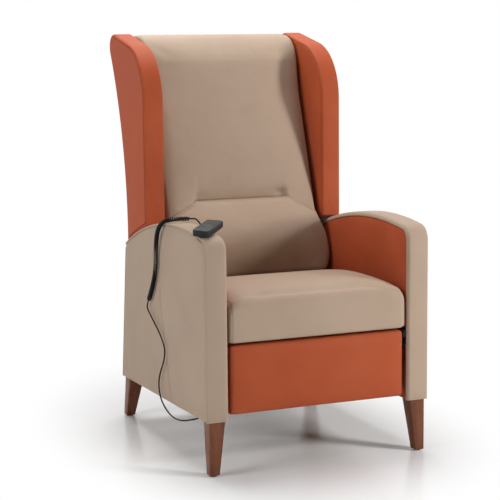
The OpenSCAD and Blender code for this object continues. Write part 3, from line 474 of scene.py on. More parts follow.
def tone(red, green, blue):
    # a colour as it is read off a swatch, 0 to 255, turned into light values
    parts = [(c / 255 / 12.92) if c / 255 <= 0.04045 else ((c / 255 + 0.055) / 1.055) ** 2.4
             for c in (red, green, blue)]
    return (*parts, 1.0)


def leatherette(name, spec):
    look, tree, shader, place = newFinish(name)
    drift = useEffect(tree, driftEffect, Vector=place, Tone=spec["tone"], Deep=spec["deep"], Pale=spec["pale"],
                      Size=spec["driftSize"], Amount=spec["drift"])
    grain = useEffect(tree, grainEffect, Vector=place, Cells=spec["cells"], Pores=spec["pores"])
    rub = useEffect(tree, rubEffect, Vector=place, Reach=spec["rubReach"], Break=spec["rubBreak"])
    shade = drift.outputs["Tone"]
    # hollows and seams darken towards the seam tone as painted shade; ridges pale with wear
    for mask, amount, into in ((grain.outputs["Valley"], "valley", "deep"), (rub.outputs["Ridge"], "rub", "pale"),
                               (rub.outputs["Hollow"], "hollowShade", "seam")):
        shade = mixTones(tree, times(tree, mask, spec[amount]), shade, spec[into])
    gloss = mapRange(tree, drift.outputs["Mottle"], 0.3, 0.7, spec["roughness"] - 0.05, spec["roughness"] + 0.05)
    dull = math2(tree, "ADD", gloss, times(tree, grain.outputs["Valley"], spec["valleyDull"]))
    slack = addNode(tree, "TexNoise", Vector=place, Scale=spec["slackSize"], Detail=2.0, Distortion=0.6)
    soft = addNode(tree, "Bump", Distance=spec["slack"], Height=slack.outputs["Fac"])
    addBump(tree, shader, grain.outputs["Height"], spec["depth"], soft.outputs["Normal"])
    setShader(tree, shader, {"Base Color": shade, "Roughness": dull, "Specular IOR Level": spec["specular"]})
    return look


# both leatherettes share one grain; each has its own colours, drift and gloss
grainSpec = {"cells": 820.0, "pores": 0.4, "rubReach": 0.08, "rubBreak": 35.0, "hollowShade": 0.55, "valleyDull": 0.12,
             "slack": 0.0016, "depth": 0.00014}
# the seam tones are painted shade for hollows, creases and seams
sandSpec = {**grainSpec, "tone": tone(178, 156, 136), "deep": tone(163, 141, 121), "pale": tone(188, 166, 146),
            "seam": tone(92, 76, 62), "driftSize": 3.2, "drift": 0.45, "valley": 0.25, "rub": 0.25,
            "roughness": 0.5, "slackSize": 16.0, "specular": 0.13}
rustSpec = {**grainSpec, "tone": tone(176, 84, 52), "deep": tone(158, 71, 43), "pale": tone(190, 98, 66),
            "seam": tone(84, 28, 16), "driftSize": 3.6, "drift": 0.5, "valley": 0.28, "rub": 0.3,
            "roughness": 0.48, "slackSize": 15.0, "specular": 0.07}
sandLeatherette = leatherette("sandLeatherette", sandSpec)
rustLeatherette = leatherette("rustLeatherette", rustSpec)


def timber(name, spec):
    look, tree, shader, place = newFinish(name)
    figure = useEffect(tree, timberEffect, Vector=stretched(tree, place, spec["stretch"]), Spring=spec["spring"],
                       Summer=spec["summer"], Rings=spec["rings"])
    rub = useEffect(tree, rubEffect, Vector=place, Reach=0.08, Break=60.0)
    worn = mixTones(tree, times(tree, rub.outputs["Ridge"], spec["rub"]), figure.outputs["Tone"], spec["worn"])
    speck = useEffect(tree, speckEffect, Vector=place, Size=900.0, Mottle=14.0)
    gloss = mapRange(tree, speck.outputs["Smudge"], 0.3, 0.7, spec["roughness"] - 0.06, spec["roughness"] + 0.08)
    addBump(tree, shader, figure.outputs["Height"], spec["depth"])
    setShader(tree, shader, {"Base Color": worn, "Roughness": gloss, "Specular IOR Level": spec["specular"]})
    if spec["lacquer"]:
        setShader(tree, shader, {"Coat Weight": spec["lacquer"], "Coat Roughness": 0.18})
    return look


legSpec = {"spring": tone(124, 70, 42), "summer": tone(88, 46, 26), "worn": tone(142, 88, 58), "rings": 34.0,
           "stretch": (1.0, 1.0, 0.09), "rub": 0.25, "roughness": 0.42, "depth": 0.00018, "lacquer": 0.08,
           "specular": 0.25}
plySpec = {"spring": tone(206, 176, 132), "summer": tone(176, 140, 98), "worn": tone(220, 196, 158),
           "rings": 260.0, "stretch": (1.0, 0.04, 0.04), "rub": 0.2, "roughness": 0.62, "depth": 0.0001,
           "lacquer": 0.0, "specular": 0.3}
beechSpec = {"spring": tone(202, 158, 112), "summer": tone(178, 132, 90), "worn": tone(216, 180, 138),
             "rings": 46.0, "stretch": (0.12, 1.0, 1.0), "rub": 0.2, "roughness": 0.58, "depth": 0.00012,
             "lacquer": 0.0, "specular": 0.3}
stainedLeg = timber("stainedLeg", legSpec)
birchPly = timber("birchPly", plySpec)
sawnBeech = timber("sawnBeech", beechSpec)

# moulded, coated and metal surfaces: three colours, a roughness, and what differs from these values
hardSpec = {"metal": 0.0, "rub": 0.3, "dust": 0.3, "speck": 1400.0, "smudge": 18.0, "depth": 0.00005,
            "specular": 0.4, "dustTone": (120, 112, 102)}


def hardFinish(name, main, deep, worn, roughness, **changes):
    spec = {**hardSpec, **changes}
    look, tree, shader, place = newFinish(name)
    speck = useEffect(tree, speckEffect, Vector=place, Size=spec["speck"], Mottle=spec["smudge"])
    rub = useEffect(tree, rubEffect, Vector=place, Reach=0.06, Break=90.0)
    mottle = mapRange(tree, speck.outputs["Smudge"], 0.35, 0.65, 0.0, 1.0, True)
    shade = mixTones(tree, mottle, tone(*main), tone(*deep))
    for mask, amount, into in (("Ridge", "rub", worn), ("Hollow", "dust", spec["dustTone"])):
        shade = mixTones(tree, times(tree, rub.outputs[mask], spec[amount]), shade, tone(*into))
    gloss = mapRange(tree, speck.outputs["Smudge"], 0.3, 0.7, roughness - 0.07, roughness + 0.09)
    addBump(tree, shader, speck.outputs["Height"], spec["depth"])
    setShader(tree, shader, {"Base Color": shade, "Roughness": gloss, "Metallic": spec["metal"],
                             "Specular IOR Level": spec["specular"]})
    return look


cordRubber = hardFinish("cordRubber", (22, 21, 21), (16, 15, 15), (36, 34, 33), 0.5, rub=0.1, dust=0.04,
                        speck=1800.0, smudge=30.0, depth=0.00004, specular=0.14)
handsetShell = hardFinish("handsetShell", (34, 39, 38), (28, 33, 32), (60, 65, 64), 0.5, rub=0.2, dust=0.04,
                          speck=2400.0, smudge=26.0, depth=0.00003, specular=0.18)
softButton = hardFinish("softButton", (34, 37, 37), (28, 30, 30), (60, 62, 61), 0.62, rub=0.25, dust=0.1,
                        speck=1800.0, smudge=60.0, depth=0.00004)
printedMark = hardFinish("printedMark", (150, 153, 150), (132, 135, 132), (120, 122, 120), 0.5, dust=0.0)
boardGreen = hardFinish("boardGreen", (30, 96, 60), (24, 78, 50), (120, 128, 96), 0.38, smudge=90.0)
powderSteel = hardFinish("powderSteel", (36, 36, 38), (28, 28, 30), (98, 96, 94), 0.46, rub=0.4, speck=1100.0,
                         depth=0.00012)
zincSteel = hardFinish("zincSteel", (176, 177, 172), (150, 151, 146), (206, 206, 204), 0.36, metal=1.0, rub=0.4,
                       smudge=70.0)
groundRod = hardFinish("groundRod", (192, 193, 192), (168, 169, 168), (216, 216, 216), 0.22, metal=1.0, rub=0.3,
                       dust=0.15, smudge=40.0, depth=0.00002)
drivePlastic = hardFinish("drivePlastic", (52, 54, 58), (42, 44, 48), (92, 94, 96), 0.52, speck=900.0,
                          depth=0.00014)
# painted shade: the dark colour of the strips laid in the seams' gaps, where there is only shade
seamShadeCloth = hardFinish("seamShadeCloth", (46, 36, 29), (38, 29, 23), (70, 56, 46), 0.8, rub=0.1, dust=0.05, specular=0.1)
glideNylon = hardFinish("glideNylon", (40, 38, 36), (30, 29, 28), (110, 106, 100), 0.5, rub=0.6, dust=0.5)


def makeWebbing():
    look, tree, shader, place = newFinish("jacquardStrap")
    weave = useEffect(tree, weaveEffect, Vector=place, Threads=340.0)
    drift = useEffect(tree, driftEffect, Vector=place, Tone=tone(58, 54, 50), Deep=tone(44, 41, 38),
                      Pale=tone(74, 70, 65), Size=9.0, Amount=0.6)
    dark = mixTones(tree, times(tree, weave.outputs["Shadow"], 0.6), drift.outputs["Tone"], tone(22, 20, 19))
    addBump(tree, shader, weave.outputs["Height"], 0.0004)
    setShader(tree, shader, {"Base Color": dark,
                             "Roughness": mapRange(tree, drift.outputs["Mottle"], 0.3, 0.7, 0.72, 0.9)})
    return look


jacquardStrap = makeWebbing()

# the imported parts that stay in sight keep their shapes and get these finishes
partFinishes = {
    "plywood": birchPly, "beech": sawnBeech, "leg_wood": stainedLeg, "glide_plastic": glideNylon,
    "black_steel": powderSteel, "zinc_steel": zincSteel, "rod_steel": groundRod, "drive_plastic": drivePlastic,
    "handset_plastic": handsetShell, "button_rubber": softButton, "board_green": boardGreen,
    "cord_jacket": cordRubber, "webbing_strap": jacquardStrap, "beige_leatherette": sandLeatherette,
    "terracotta_leatherette": rustLeatherette}
for part in frame["record"]["subparts"]:
    packed = bpy.data.objects[part["node"]]
    packed.data.materials.clear()
    packed.data.materials.append(partFinishes[part["material_slot"]])
print("stage 3: finishes made")

# the handset lies across the arm's top, turned towards the sitter
handsetSpec = {"x": -290.0, "y": 92.0, "turn": 38.0, "length": 140.0, "width": 48.0, "thick": 18.0,
               "baseShare": 0.55, "corner": 10.0}
handsetSlope = math.asin((chair["crownY"] - handsetSpec["y"]) / chair["crownRadius"])
handsetPlace = (Matrix.Translation(at(handsetSpec["x"], handsetSpec["y"], armTop(handsetSpec["y"]) + 0.5))
                @ Matrix.Rotation(handsetSlope, 4, "X")
                @ Matrix.Rotation(-math.radians(handsetSpec["turn"]), 4, "Z"))


def borePoint(along):
    # a point on the line of the bore in the handset's rear end, in millimetres
    p = handsetPlace @ (Vector((0, along, handsetSpec["thick"] * handsetSpec["baseShare"] / 2)) / 1000) * 1000
    return (p.x, p.y + chair["midDepth"], p.z)


# the handset's cord: plain lead under the chair, curls over the arm, short tail
cordSpec = {"wire": 4.4, "curl": 14.0, "pitch": 6.6, "turnPoints": 16, "leadSteps": 5, "curlSteps": 12,
            "tailSteps": 7, "round": 3}
leadRoute = [(-344, 443, 413), (-344, 451, 401), (-344, 450, 390), (-344, 430, 378), (-344, 392, 358),
             (-344, 350, 336), (-344, 316, 310), (-344, 306, 286), (-344, 320, 254), (-344, 346, 222),
             (-344, 361, 190), (-344, 357, 160), (-344, 334, 136), (-344, 290, 119), (-344, 235, 113),
             (-340, 180, 118), (-326, 138, 129), (-304, 126, 136), (-280, 140, 138), (-264, 166, 138),
             (-257, 184, 144), (-257, 186, 152), (-257, 186, 160)]
curlRoute = [(-272, 262, 671), (-290, 266, 671), (-310, 273, 671), (-329, 286, 669), (-343, 304, 660),
             (-349, 326, 640), (-348, 348, 610), (-345, 364, 574), (-344, 371, 536), (-344, 382, 498),
             (-344, 402, 464), (-344, 426, 432), (-344, 443, 413)]
tailRoute = [borePoint(67), borePoint(76), (-236, 160, 662), (-230, 169, 655), (-227, 180, 648), (-228, 195, 643),
             (-232, 210, 640), (-238, 225, 640), (-244, 238, 644), (-249, 248, 652), (-254, 256, 662),
             (-262, 260.5, 670), (-272, 262, 671)]


def smoothRoute(route, steps):
    # a rounded curve through the points of a route
    pts = [Vector(p) for p in route]
    line = []
    for i in range(len(pts) - 1):
        a, b, c, d = pts[max(i - 1, 0)], pts[i], pts[i + 1], pts[min(i + 2, len(pts) - 1)]
        for k in range(steps):
            t = k / steps
            line.append(0.5 * (2 * b + (c - a) * t + (2 * a - 5 * b + 4 * c - d) * t * t
                               + (3 * b - a - 3 * c + d) * t ** 3))
    line.append(pts[-1])
    return line


def runsOf(line):
    # how far along a line each of its points is
    runs = [0.0]
    for a, b in zip(line, line[1:]):
        runs.append(runs[-1] + (b - a).length)
    return runs


def roundRing(centre, e, f, r, count):
    return [centre + (e * math.cos(a) + f * math.sin(a)) * r
            for a in (2 * math.pi * i / count for i in range(count))]


def pointAlong(line, runs, s):
    s = max(0.0, min(runs[-1], s))
    i = 0
    while i < len(runs) - 2 and runs[i + 1] < s:
        i += 1
    return line[i].lerp(line[i + 1], (s - runs[i]) / max(runs[i + 1] - runs[i], 1e-9))


def curlLine():
    # wraps the wire round the curly part's middle line, with a straight end each way
    line = smoothRoute(curlRoute, cordSpec["curlSteps"])
    runs = runsOf(line)
    whole, wire, perTurn = runs[-1], cordSpec["wire"], cordSpec["turnPoints"]
    count = round((whole - 2 * wire) / cordSpec["pitch"]) * perTurn
    wound = [line[0]]
    for k in range(count + 1):
        s = wire + (whole - 2 * wire) * k / count
        way = (pointAlong(line, runs, s + 4) - pointAlong(line, runs, s - 4)).normalized()
        e = way.cross(Vector((0, 1, 0))).normalized()
        f = way.cross(e)
        a = 2 * math.pi * k / perTurn
        r = (cordSpec["curl"] - wire) / 2 * smoothStep(k / perTurn) * smoothStep((count - k) / perTurn)
        wound.append(pointAlong(line, runs, s) + (e * math.cos(a) + f * math.sin(a)) * r)
    wound.append(line[-1])
    return wound


def makeCord():
    # one wire from the control box to the handset
    lead = smoothRoute(leadRoute, cordSpec["leadSteps"])[::-1]
    curl = curlLine()[::-1]
    tail = smoothRoute(tailRoute, cordSpec["tailSteps"])[::-1]
    whole = lead + curl[1:] + tail[1:]
    data = bpy.data.curves.new("handsetCord", "CURVE")
    data.dimensions = "3D"
    data.bevel_depth = cordSpec["wire"] / 2000
    data.bevel_resolution = cordSpec["round"]
    data.use_fill_caps = True
    strand = data.splines.new("POLY")
    strand.points.add(len(whole) - 1)
    for point, p in zip(strand.points, whole):
        point.co = (*at(*p), 1.0)
    strand.use_smooth = True
    data.materials.append(cordRubber)
    cord = bpy.data.objects.new("handsetCord", data)
    scene.collection.objects.link(cord)
    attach(cord, "base")
    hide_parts("cord_lead", "cord_curl", "cord_tail")
    return cord, runsOf(whole)[-1] / 1000


bootSpec = {"narrow": 2.6, "steps": 22, "round": 16, "rib": 0.45, "end": 0.35}


def makeBoot(name, route, long, wide):
    # a ribbed sleeve, tapered along the wire's first stretch
    line = smoothRoute(route, 12)
    runs = runsOf(line)
    bm = bmesh.new()
    rings = []
    steps, narrow = bootSpec["steps"], bootSpec["narrow"]
    for k in range(steps + 1):
        s = long * k / steps
        centre = pointAlong(line, runs, s)
        way = (pointAlong(line, runs, s + 1.5) - pointAlong(line, runs, max(0.0, s - 1.5))).normalized()
        e = way.orthogonal() if abs(way.z) > 0.95 else way.cross(Vector((0, 0, 1)))
        e.normalize()
        f = way.cross(e)
        r = wide + (narrow - wide) * k / steps - (bootSpec["rib"] if 3 < k < steps - 1 and k % 3 == 0 else 0.0)
        if k in (0, steps):
            r -= bootSpec["end"]
        rings.append([at(*p) for p in roundRing(centre, e, f, r, bootSpec["round"])])
    loftRings(bm, rings)
    return finishPiece(name, bm, "base", "cord_jacket", (), 50)


handsetBoot = makeBoot("handsetBoot", [borePoint(handsetSpec["length"] / 2 - 1)] + tailRoute[1:], 15.0, 3.9)
boxBoot = makeBoot("boxBoot", leadRoute[:-6:-1], 18.0, 4.3)
handsetCord, cordLength = makeCord()
print("stage 4: cord made, %.3f m of wire" % cordLength)

# handset: two moulded shells, a button field and four soft buttons with plain arrows
shellSpec = {"gap": 0.4, "topRound": 3.4, "footRound": 2.4, "fieldLong": 58.0, "fieldWide": 34.0, "fieldY": 8.0,
             "fieldRise": 0.5, "fieldRound": 7.0, "fieldEdge": 0.35, "seamInset": 0.6, "buttonR": 4.3,
             "buttonTop": 19.4, "buttonSink": 3.0, "domeRise": 0.7, "dome": ((0.5, 0.4), (0.9, 0.2), (1.2, 0.1)),
             "arrow": ((-1.5, -0.9), (1.5, -0.9), (0, 1.5)), "arrowRise": 0.12,
             "buttons": {"button_back_up": ("key_back_up", -8.0, 20.0, 1),
                         "button_back_down": ("key_back_down", 8.0, 20.0, -1),
                         "button_rest_up": ("key_rest_up", -8.0, -4.0, 1),
                         "button_rest_down": ("key_rest_down", 8.0, -4.0, -1)}}


def roundedCorners(half, low, high, corner, steps):
    # the outline of a rectangle with rounded corners, from -half to half and from low to high
    pts = []
    for cx, cy, start in ((half - corner, high - corner, 0), (-half + corner, high - corner, 90),
                          (-half + corner, low + corner, 180), (half - corner, low + corner, 270)):
        for k in range(steps + 1):
            a = math.radians(start + 90 * k / steps)
            pts.append((cx + corner * math.cos(a), cy + corner * math.sin(a)))
    return pts


def roundedPlate(bm, long, wide, corner, low, high, centreY=0.0):
    # a flat plate with rounded corners, from one extrusion
    outline = roundedCorners(wide / 2, -long / 2, long / 2, corner, 6)
    face = bm.faces.new([bm.verts.new(Vector((x, y + centreY, low)) / 1000) for x, y in outline])
    raiseFaces(bm, [face], (0, 0, (high - low) / 1000))
    bmesh.ops.recalc_face_normals(bm, faces=bm.faces)


def rimEdges(bm, z):
    return [e for e in bm.edges if all(abs(v.co.z - z / 1000) < 1e-6 for v in e.verts)
            and any(abs(f.normal.z) < 0.5 for f in e.link_faces)]


def makeHandset():
    spec, body = shellSpec, handsetSpec
    thick, top = body["thick"], spec["buttonTop"]
    split = thick * body["baseShare"]
    for name, low, high, rim, node in (("handsetFoot", 0.0, split, 0.0, "handset_base"),
                                       ("handsetTop", split + spec["gap"], thick, thick, "handset_cover")):
        bm = bmesh.new()
        roundedPlate(bm, body["length"], body["width"], body["corner"], low, high)
        bevelEdges(bm, rimEdges(bm, rim), spec["footRound"] if rim == 0.0 else spec["topRound"], 4)
        if rim:
            roundedPlate(bm, spec["fieldLong"], spec["fieldWide"], spec["fieldRound"], rim - 1.5,
                         rim + spec["fieldRise"], spec["fieldY"])
            bevelEdges(bm, rimEdges(bm, rim + spec["fieldRise"]), spec["fieldEdge"], 2)
        bmesh.ops.transform(bm, matrix=handsetPlace, verts=bm.verts)
        finishPiece(name, bm, "base", "handset_plastic", [node], 35)
    bm = bmesh.new()
    inset = spec["seamInset"]
    roundedPlate(bm, body["length"] - 2 * inset, body["width"] - 2 * inset, body["corner"] - inset, split - 0.6,
                 split + 1.0)
    bmesh.ops.transform(bm, matrix=handsetPlace, verts=bm.verts)
    finishPiece("handsetSeam", bm, "base", "handset_plastic", looks=[softButton])
    for node, (key, x, y, way) in spec["buttons"].items():
        bm = bmesh.new()
        bmesh.ops.create_circle(bm, cap_ends=True, cap_tris=False, segments=24, radius=spec["buttonR"] / 1000)
        bmesh.ops.translate(bm, verts=bm.verts, vec=(0, 0, (thick - spec["buttonSink"]) / 1000))
        tall = top - thick + spec["buttonSink"] - spec["domeRise"]
        cap = raiseFaces(bm, bm.faces[:], (0, 0, tall / 1000))[1]
        bmesh.ops.recalc_face_normals(bm, faces=bm.faces)
        for inward, rise in spec["dome"]:
            bmesh.ops.inset_region(bm, faces=cap, thickness=inward / 1000, depth=rise / 1000)
        # a small raised arrow, pointing to the sitter's front or rear
        mark = [bm.verts.new(Vector((dx, dy * way, top - 0.02)) / 1000) for dx, dy in spec["arrow"]]
        arrow = bm.faces.new(mark if way > 0 else mark[::-1])
        lifted = raiseFaces(bm, [arrow], (0, 0, spec["arrowRise"] / 1000))[0]
        for f in {f for v in mark + lifted for f in v.link_faces}:
            f.material_index = 1
        bmesh.ops.translate(bm, verts=bm.verts, vec=(x / 1000, y / 1000, 0))
        bmesh.ops.transform(bm, matrix=handsetPlace, verts=bm.verts)
        finishPiece(node.replace("_", "-"), bm, key, "button_rubber", [node], 40, [softButton, printedMark])


makeHandset()
print("stage 4b: handset made")

# arm bands: one strip up the front of each arm and over its top
bandSpec = {"thick": 6.0, "returnDepth": 12.5, "innerRound": 9.5, "outerRound": 2.6, "rise": 0.5, "runSteps": 14,
            "cornerSteps": 10, "crownSteps": 26, "overhang": 2.6, "endRound": 1.6,
            "seamShadeBox": (325.3, 332.6, 6.2, 11.8), "seamShadeEnd": 72.0}


def bandSection(z):
    # from the outer corner over the face to the inner corner, which is turned in
    outer, inner, deep = chair["halfWidth"], chair["armInner"] + 0.5, bandSpec["returnDepth"]
    thick, r, inR = bandSpec["thick"], bandSpec["outerRound"], bandSpec["innerRound"]
    pts = [(outer, thick)]
    for k in range(5):
        a = math.radians(90 * k / 4)
        pts.append((outer - r + r * math.cos(a), r - r * math.sin(a) + bandSpec["rise"]))
    for share in (0.2, 0.4, 0.6, 0.8):
        x = outer - r - (outer - r - inner - inR) * share
        pts.append((x, bandSpec["rise"] * (2 * share - 1) ** 2))
    for k in range(7):
        a = math.radians(90 * k / 6)
        pts.append((inner + inR - inR * math.sin(a), inR - inR * math.cos(a) + bandSpec["rise"]))
    pts += [(inner, deep - 1.5), (inner + 1.4, deep), (inner + 9, deep), (inner + 9.6, thick)]
    return [at(x, d, z) for x, d in pts]


def sweepArm(bm, section, endY, low, ends, side):
    # carries a section up the arm's front, round the corner and over the top
    ring = ringOf(bm, section)
    last = sweepRing(bm, ring, [
        ("line", Vector((0, 0, (cornerZ - low) / 1000)), bandSpec["runSteps"]),
        ("arc", cornerCentre, -(math.pi - cornerEnd), bandSpec["cornerSteps"]),
        ("arc", crownCentre, -(cornerEnd - crownAngle(endY)), bandSpec["crownSteps"])])
    capRing(bm, ring, ends)
    capRing(bm, last, ends)
    onSide(bm, side)


def makeSeamShadeStrip(side, word):
    # a dark strip of painted shade at the bottom of the upright seam between band and side panel
    a, b, near, far = bandSpec["seamShadeBox"]
    low = underZ(0) + 3
    bm = bmesh.new()
    sweepArm(bm, [at(x, d, low) for x, d in ((a, near), (b, near), (b, far), (a, far))],
             bandSpec["seamShadeEnd"], low, 0.2, side)
    finishPiece("seamShadeStrip" + word, bm, "base", "beige_leatherette", looks=[seamShadeCloth])


def makeBand(side, word):
    bm = bmesh.new()
    low = underZ(0) + bandSpec["endRound"]
    sweepArm(bm, bandSection(low), chair["topDepth"] + bandSpec["overhang"], low, bandSpec["endRound"], side)
    finishPiece("armBand" + word, bm, "base", "beige_leatherette",
                ["arm_band_" + word.lower()], 35)


# the narrow strip that covers the arm's rear edge
rearStrip = {"inner": 272.0, "outer": 334.2, "thick": 2.4, "round": 1.1, "top": 543.0}


def makeRearStrip(side, word):
    bm = bmesh.new()
    a, b, t, r = rearStrip["inner"], rearStrip["outer"], rearStrip["thick"], rearStrip["round"]
    foot = underZ(chair["bottomDepth"])
    low = foot + 0.6
    lean = (chair["topDepth"] - chair["bottomDepth"]) / (armTop(chair["topDepth"]) - foot)
    startY = chair["bottomDepth"] + lean * (low - foot)
    section = [(a, 0), (a, t - r), (a + 0.4 * r, t - 0.3 * r), (a + r, t), (b - r, t), (b - 0.4 * r, t - 0.3 * r),
               (b, t - r), (b, 0)]
    ring = ringOf(bm, [at(x, startY + d, low) for x, d in section])
    rise = rearStrip["top"] - low
    last = sweepRing(bm, ring, [("line", Vector((0, lean * rise / 1000, rise / 1000)), 12)])
    capRing(bm, ring)
    capRing(bm, last)
    onSide(bm, side)
    finishPiece("armRearStrip" + word, bm, "base", "beige_leatherette")


# outer side panels, in two padded parts that meet at a slanted seam
panelSpec = {"back": 325.2, "front": 333.8, "edge": 2.4, "inset": 6.4, "frontInset": 10.4, "clear": 0.8,
             "lift": 0.8, "seamTop": 370.0, "seamKnee": (368.0, 432.0), "seamFoot": 281.0, "seamGap": 2.2,
             "seamShadeLow": 325.3, "seamShadeTall": 7.0, "seamShadeLap": 0.6, "spacing": 26.0, "ripple": 0.35}


def makeSidePanel(side, word):
    spec = panelSpec
    x, inset, front, clear = spec["back"], spec["inset"], spec["frontInset"], spec["clear"]
    seamAngle, endAngle = crownAngle(spec["seamTop"], inset), crownAngle(chair["topDepth"] - clear, inset)
    # past the corner the panel eases out until it meets the band's edge
    joinAngle, crownReach = cornerEnd - 0.05, chair["crownRadius"] - inset
    join = at(x, chair["crownY"] + crownReach * math.cos(joinAngle), crownZ + crownReach * math.sin(joinAngle))
    gap, rearFoot = spec["seamGap"] / 2, chair["bottomDepth"] - clear
    # the seam between the two parts, from the crown over its knee down to the foot
    seam = ((spec["seamTop"], armTop(spec["seamTop"], inset)), spec["seamKnee"],
            (spec["seamFoot"], underZ(spec["seamFoot"]) + clear))
    frontSide = [("to", at(x, y - gap, z)) for y, z in seam]
    rearSide = [("to", at(x, y + gap, z)) for y, z in seam[::-1]]
    outlines = {
        "Front": (at(x, front, underZ(front) + clear), [
            ("to", at(x, front, cornerZ)), ("arc", cornerCentre, -(math.pi - cornerEnd), 8), ("to", join),
            ("arc", crownCentre, -(joinAngle - seamAngle), 12), *frontSide]),
        "Rear": (rearSide[0][1], rearSide[1:] + [
            ("arc", crownCentre, -(seamAngle - endAngle), 12), ("to", at(x, rearFoot, underZ(rearFoot) + clear))])}
    made = []
    for part, (start, moves) in outlines.items():
        bm = bmesh.new()
        face = outlineFace(bm, start, moves)
        padSide(bm, face, spec["front"] - spec["back"], Vector((1, 0, 0)), spec["edge"], spec["lift"],
                spec["spacing"], spec["ripple"])
        onSide(bm, side)
        made.append(finishPiece("sidePanel" + part + word, bm, "base", "beige_leatherette",
                                ["outer_panel_" + word.lower()] if part == "Front" else []))
    # a dark strip of painted shade lies at the bottom of the seam between the two parts
    half = gap + spec["seamShadeLap"]
    line = ((seam[0][0], seam[0][1] - 2), seam[1], (seam[2][0], seam[2][1] + 2))
    corners = [at(spec["seamShadeLow"], y - half, z) for y, z in line]
    corners += [at(spec["seamShadeLow"], y + half, z) for y, z in line[::-1]]
    bm = bmesh.new()
    face = outlineFace(bm, corners[0], [("to", c) for c in corners[1:]])
    raiseFaces(bm, [face], (spec["seamShadeTall"] / 1000, 0, 0))
    onSide(bm, side)
    finishPiece("sidePanelSeamShade" + word, bm, "base", "beige_leatherette", looks=[seamShadeCloth])
    return made


# inner arm panels, padded towards the sitter
innerSpec = {"back": 280.8, "thick": 8.4, "edge": 3.2, "inset": 13.2, "lift": 1.0, "lowZ": 361.0,
             "hingeY": 545.0, "hingeZ": 481.0, "spacing": 22.0}


def makeInnerPanel(side, word):
    spec = innerSpec
    x, inset = spec["back"], spec["inset"]
    endAngle = crownAngle(chair["topDepth"] - 1, inset)
    bm = bmesh.new()
    face = outlineFace(bm, at(x, inset, spec["lowZ"]), [
        ("to", at(x, inset, cornerZ)), ("arc", cornerCentre, -(math.pi - cornerEnd), 8),
        ("arc", crownCentre, -(cornerEnd - endAngle), 18),
        ("to", at(x, chair["topDepth"] - 1, spec["hingeZ"])), ("to", at(x, spec["hingeY"], spec["hingeZ"])),
        ("to", at(x, spec["hingeY"], spec["lowZ"]))])
    padSide(bm, face, spec["thick"], Vector((-1, 0, 0)), spec["edge"], spec["lift"], spec["spacing"])
    onSide(bm, side)
    return finishPiece("innerArmPanel" + word, bm, "base", "terracotta_leatherette",
                       ["inner_panel_" + word.lower()])


# the cover turned in beside the leg rest, on the inner face of each side frame
liningSpec = {"face": 281.0, "thick": 1.4, "front": 12.9, "rear": 79.0, "top": 360.5, "hingeFront": 55.5,
              "hingeLow": 293.5, "foot": 2.0}


def makeLining(side, word):
    spec = liningSpec
    bm = bmesh.new()
    x = spec["face"] - spec["thick"]
    front, rear, foot = spec["front"], spec["rear"], spec["foot"]
    outline = [(front, underZ(front) + foot), (rear, underZ(rear) + foot), (rear, spec["top"]),
               (spec["hingeFront"], spec["top"]), (spec["hingeFront"], spec["hingeLow"]), (front, spec["hingeLow"])]
    face = bm.faces.new([bm.verts.new(at(x, y, z)) for y, z in outline])
    raiseFaces(bm, [face], (spec["thick"] / 1000, 0, 0))
    bmesh.ops.recalc_face_normals(bm, faces=bm.faces)
    bevelEdges(bm, [e for e in bm.edges if all(abs(v.co.x - x / 1000) < 1e-6 for v in e.verts)], 0.5, 2)
    onSide(bm, side)
    finishPiece("armLining" + word, bm, "base", "terracotta_leatherette")


# the low panel that closes the chair's back between the arms
rearPanelSpec = {"edge": 3.0, "lift": 1.4, "spacing": 26.0, "seamFrom": 10.0, "seamWidth": 2.4, "seamDepth": 1.0}


def makeRearPanel():
    spec = rearPanelSpec
    low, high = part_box("rear_panel")
    bm = bmesh.new()
    corners = [(low[0], low[2]), (high[0], low[2]), (high[0], high[2]), (low[0], high[2])]
    face = bm.faces.new([bm.verts.new(Vector((x, low[1], z))) for x, z in corners])
    seam = {"from": spec["seamFrom"], "width": spec["seamWidth"], "depth": spec["seamDepth"]}
    padSide(bm, face, (high[1] - low[1]) * 1000 - spec["lift"], Vector((0, 1, 0)), spec["edge"], spec["lift"],
            spec["spacing"], 0.3, seam, (0, 2))
    panel = finishPiece("rearPanel", bm, "base", "beige_leatherette", ["rear_panel"])


makeRearPanel()
for side, word in sides:
    makeLining(side, word)
    makeBand(side, word)
    makeSeamShadeStrip(side, word)
    makeRearStrip(side, word)
    for panel in makeSidePanel(side, word):
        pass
    makeInnerPanel(side, word)
print("stage 5: arms covered")

# wings: a soft strip round the edge, and a padded panel on each side
wingSpec = {"outer": 319.0, "inner": 258.0, "frontY": 522.0, "slope": 12.4, "rearR": 40.0,
            "rearX": 810.0, "rearZ": 1147.0, "frontCentre": (696.0, 984.7), "hollow": (1874.7, 574.8),
            "hollowEnd": 151.75, "lowY": 706.0, "footGap": 7.4, "footZ": 574.8,
            "edge": 6.0, "lift": 2.6, "seamFrom": 1.5, "seamWidth": 3.4, "seamDepth": 1.5, "spacing": 24.0}


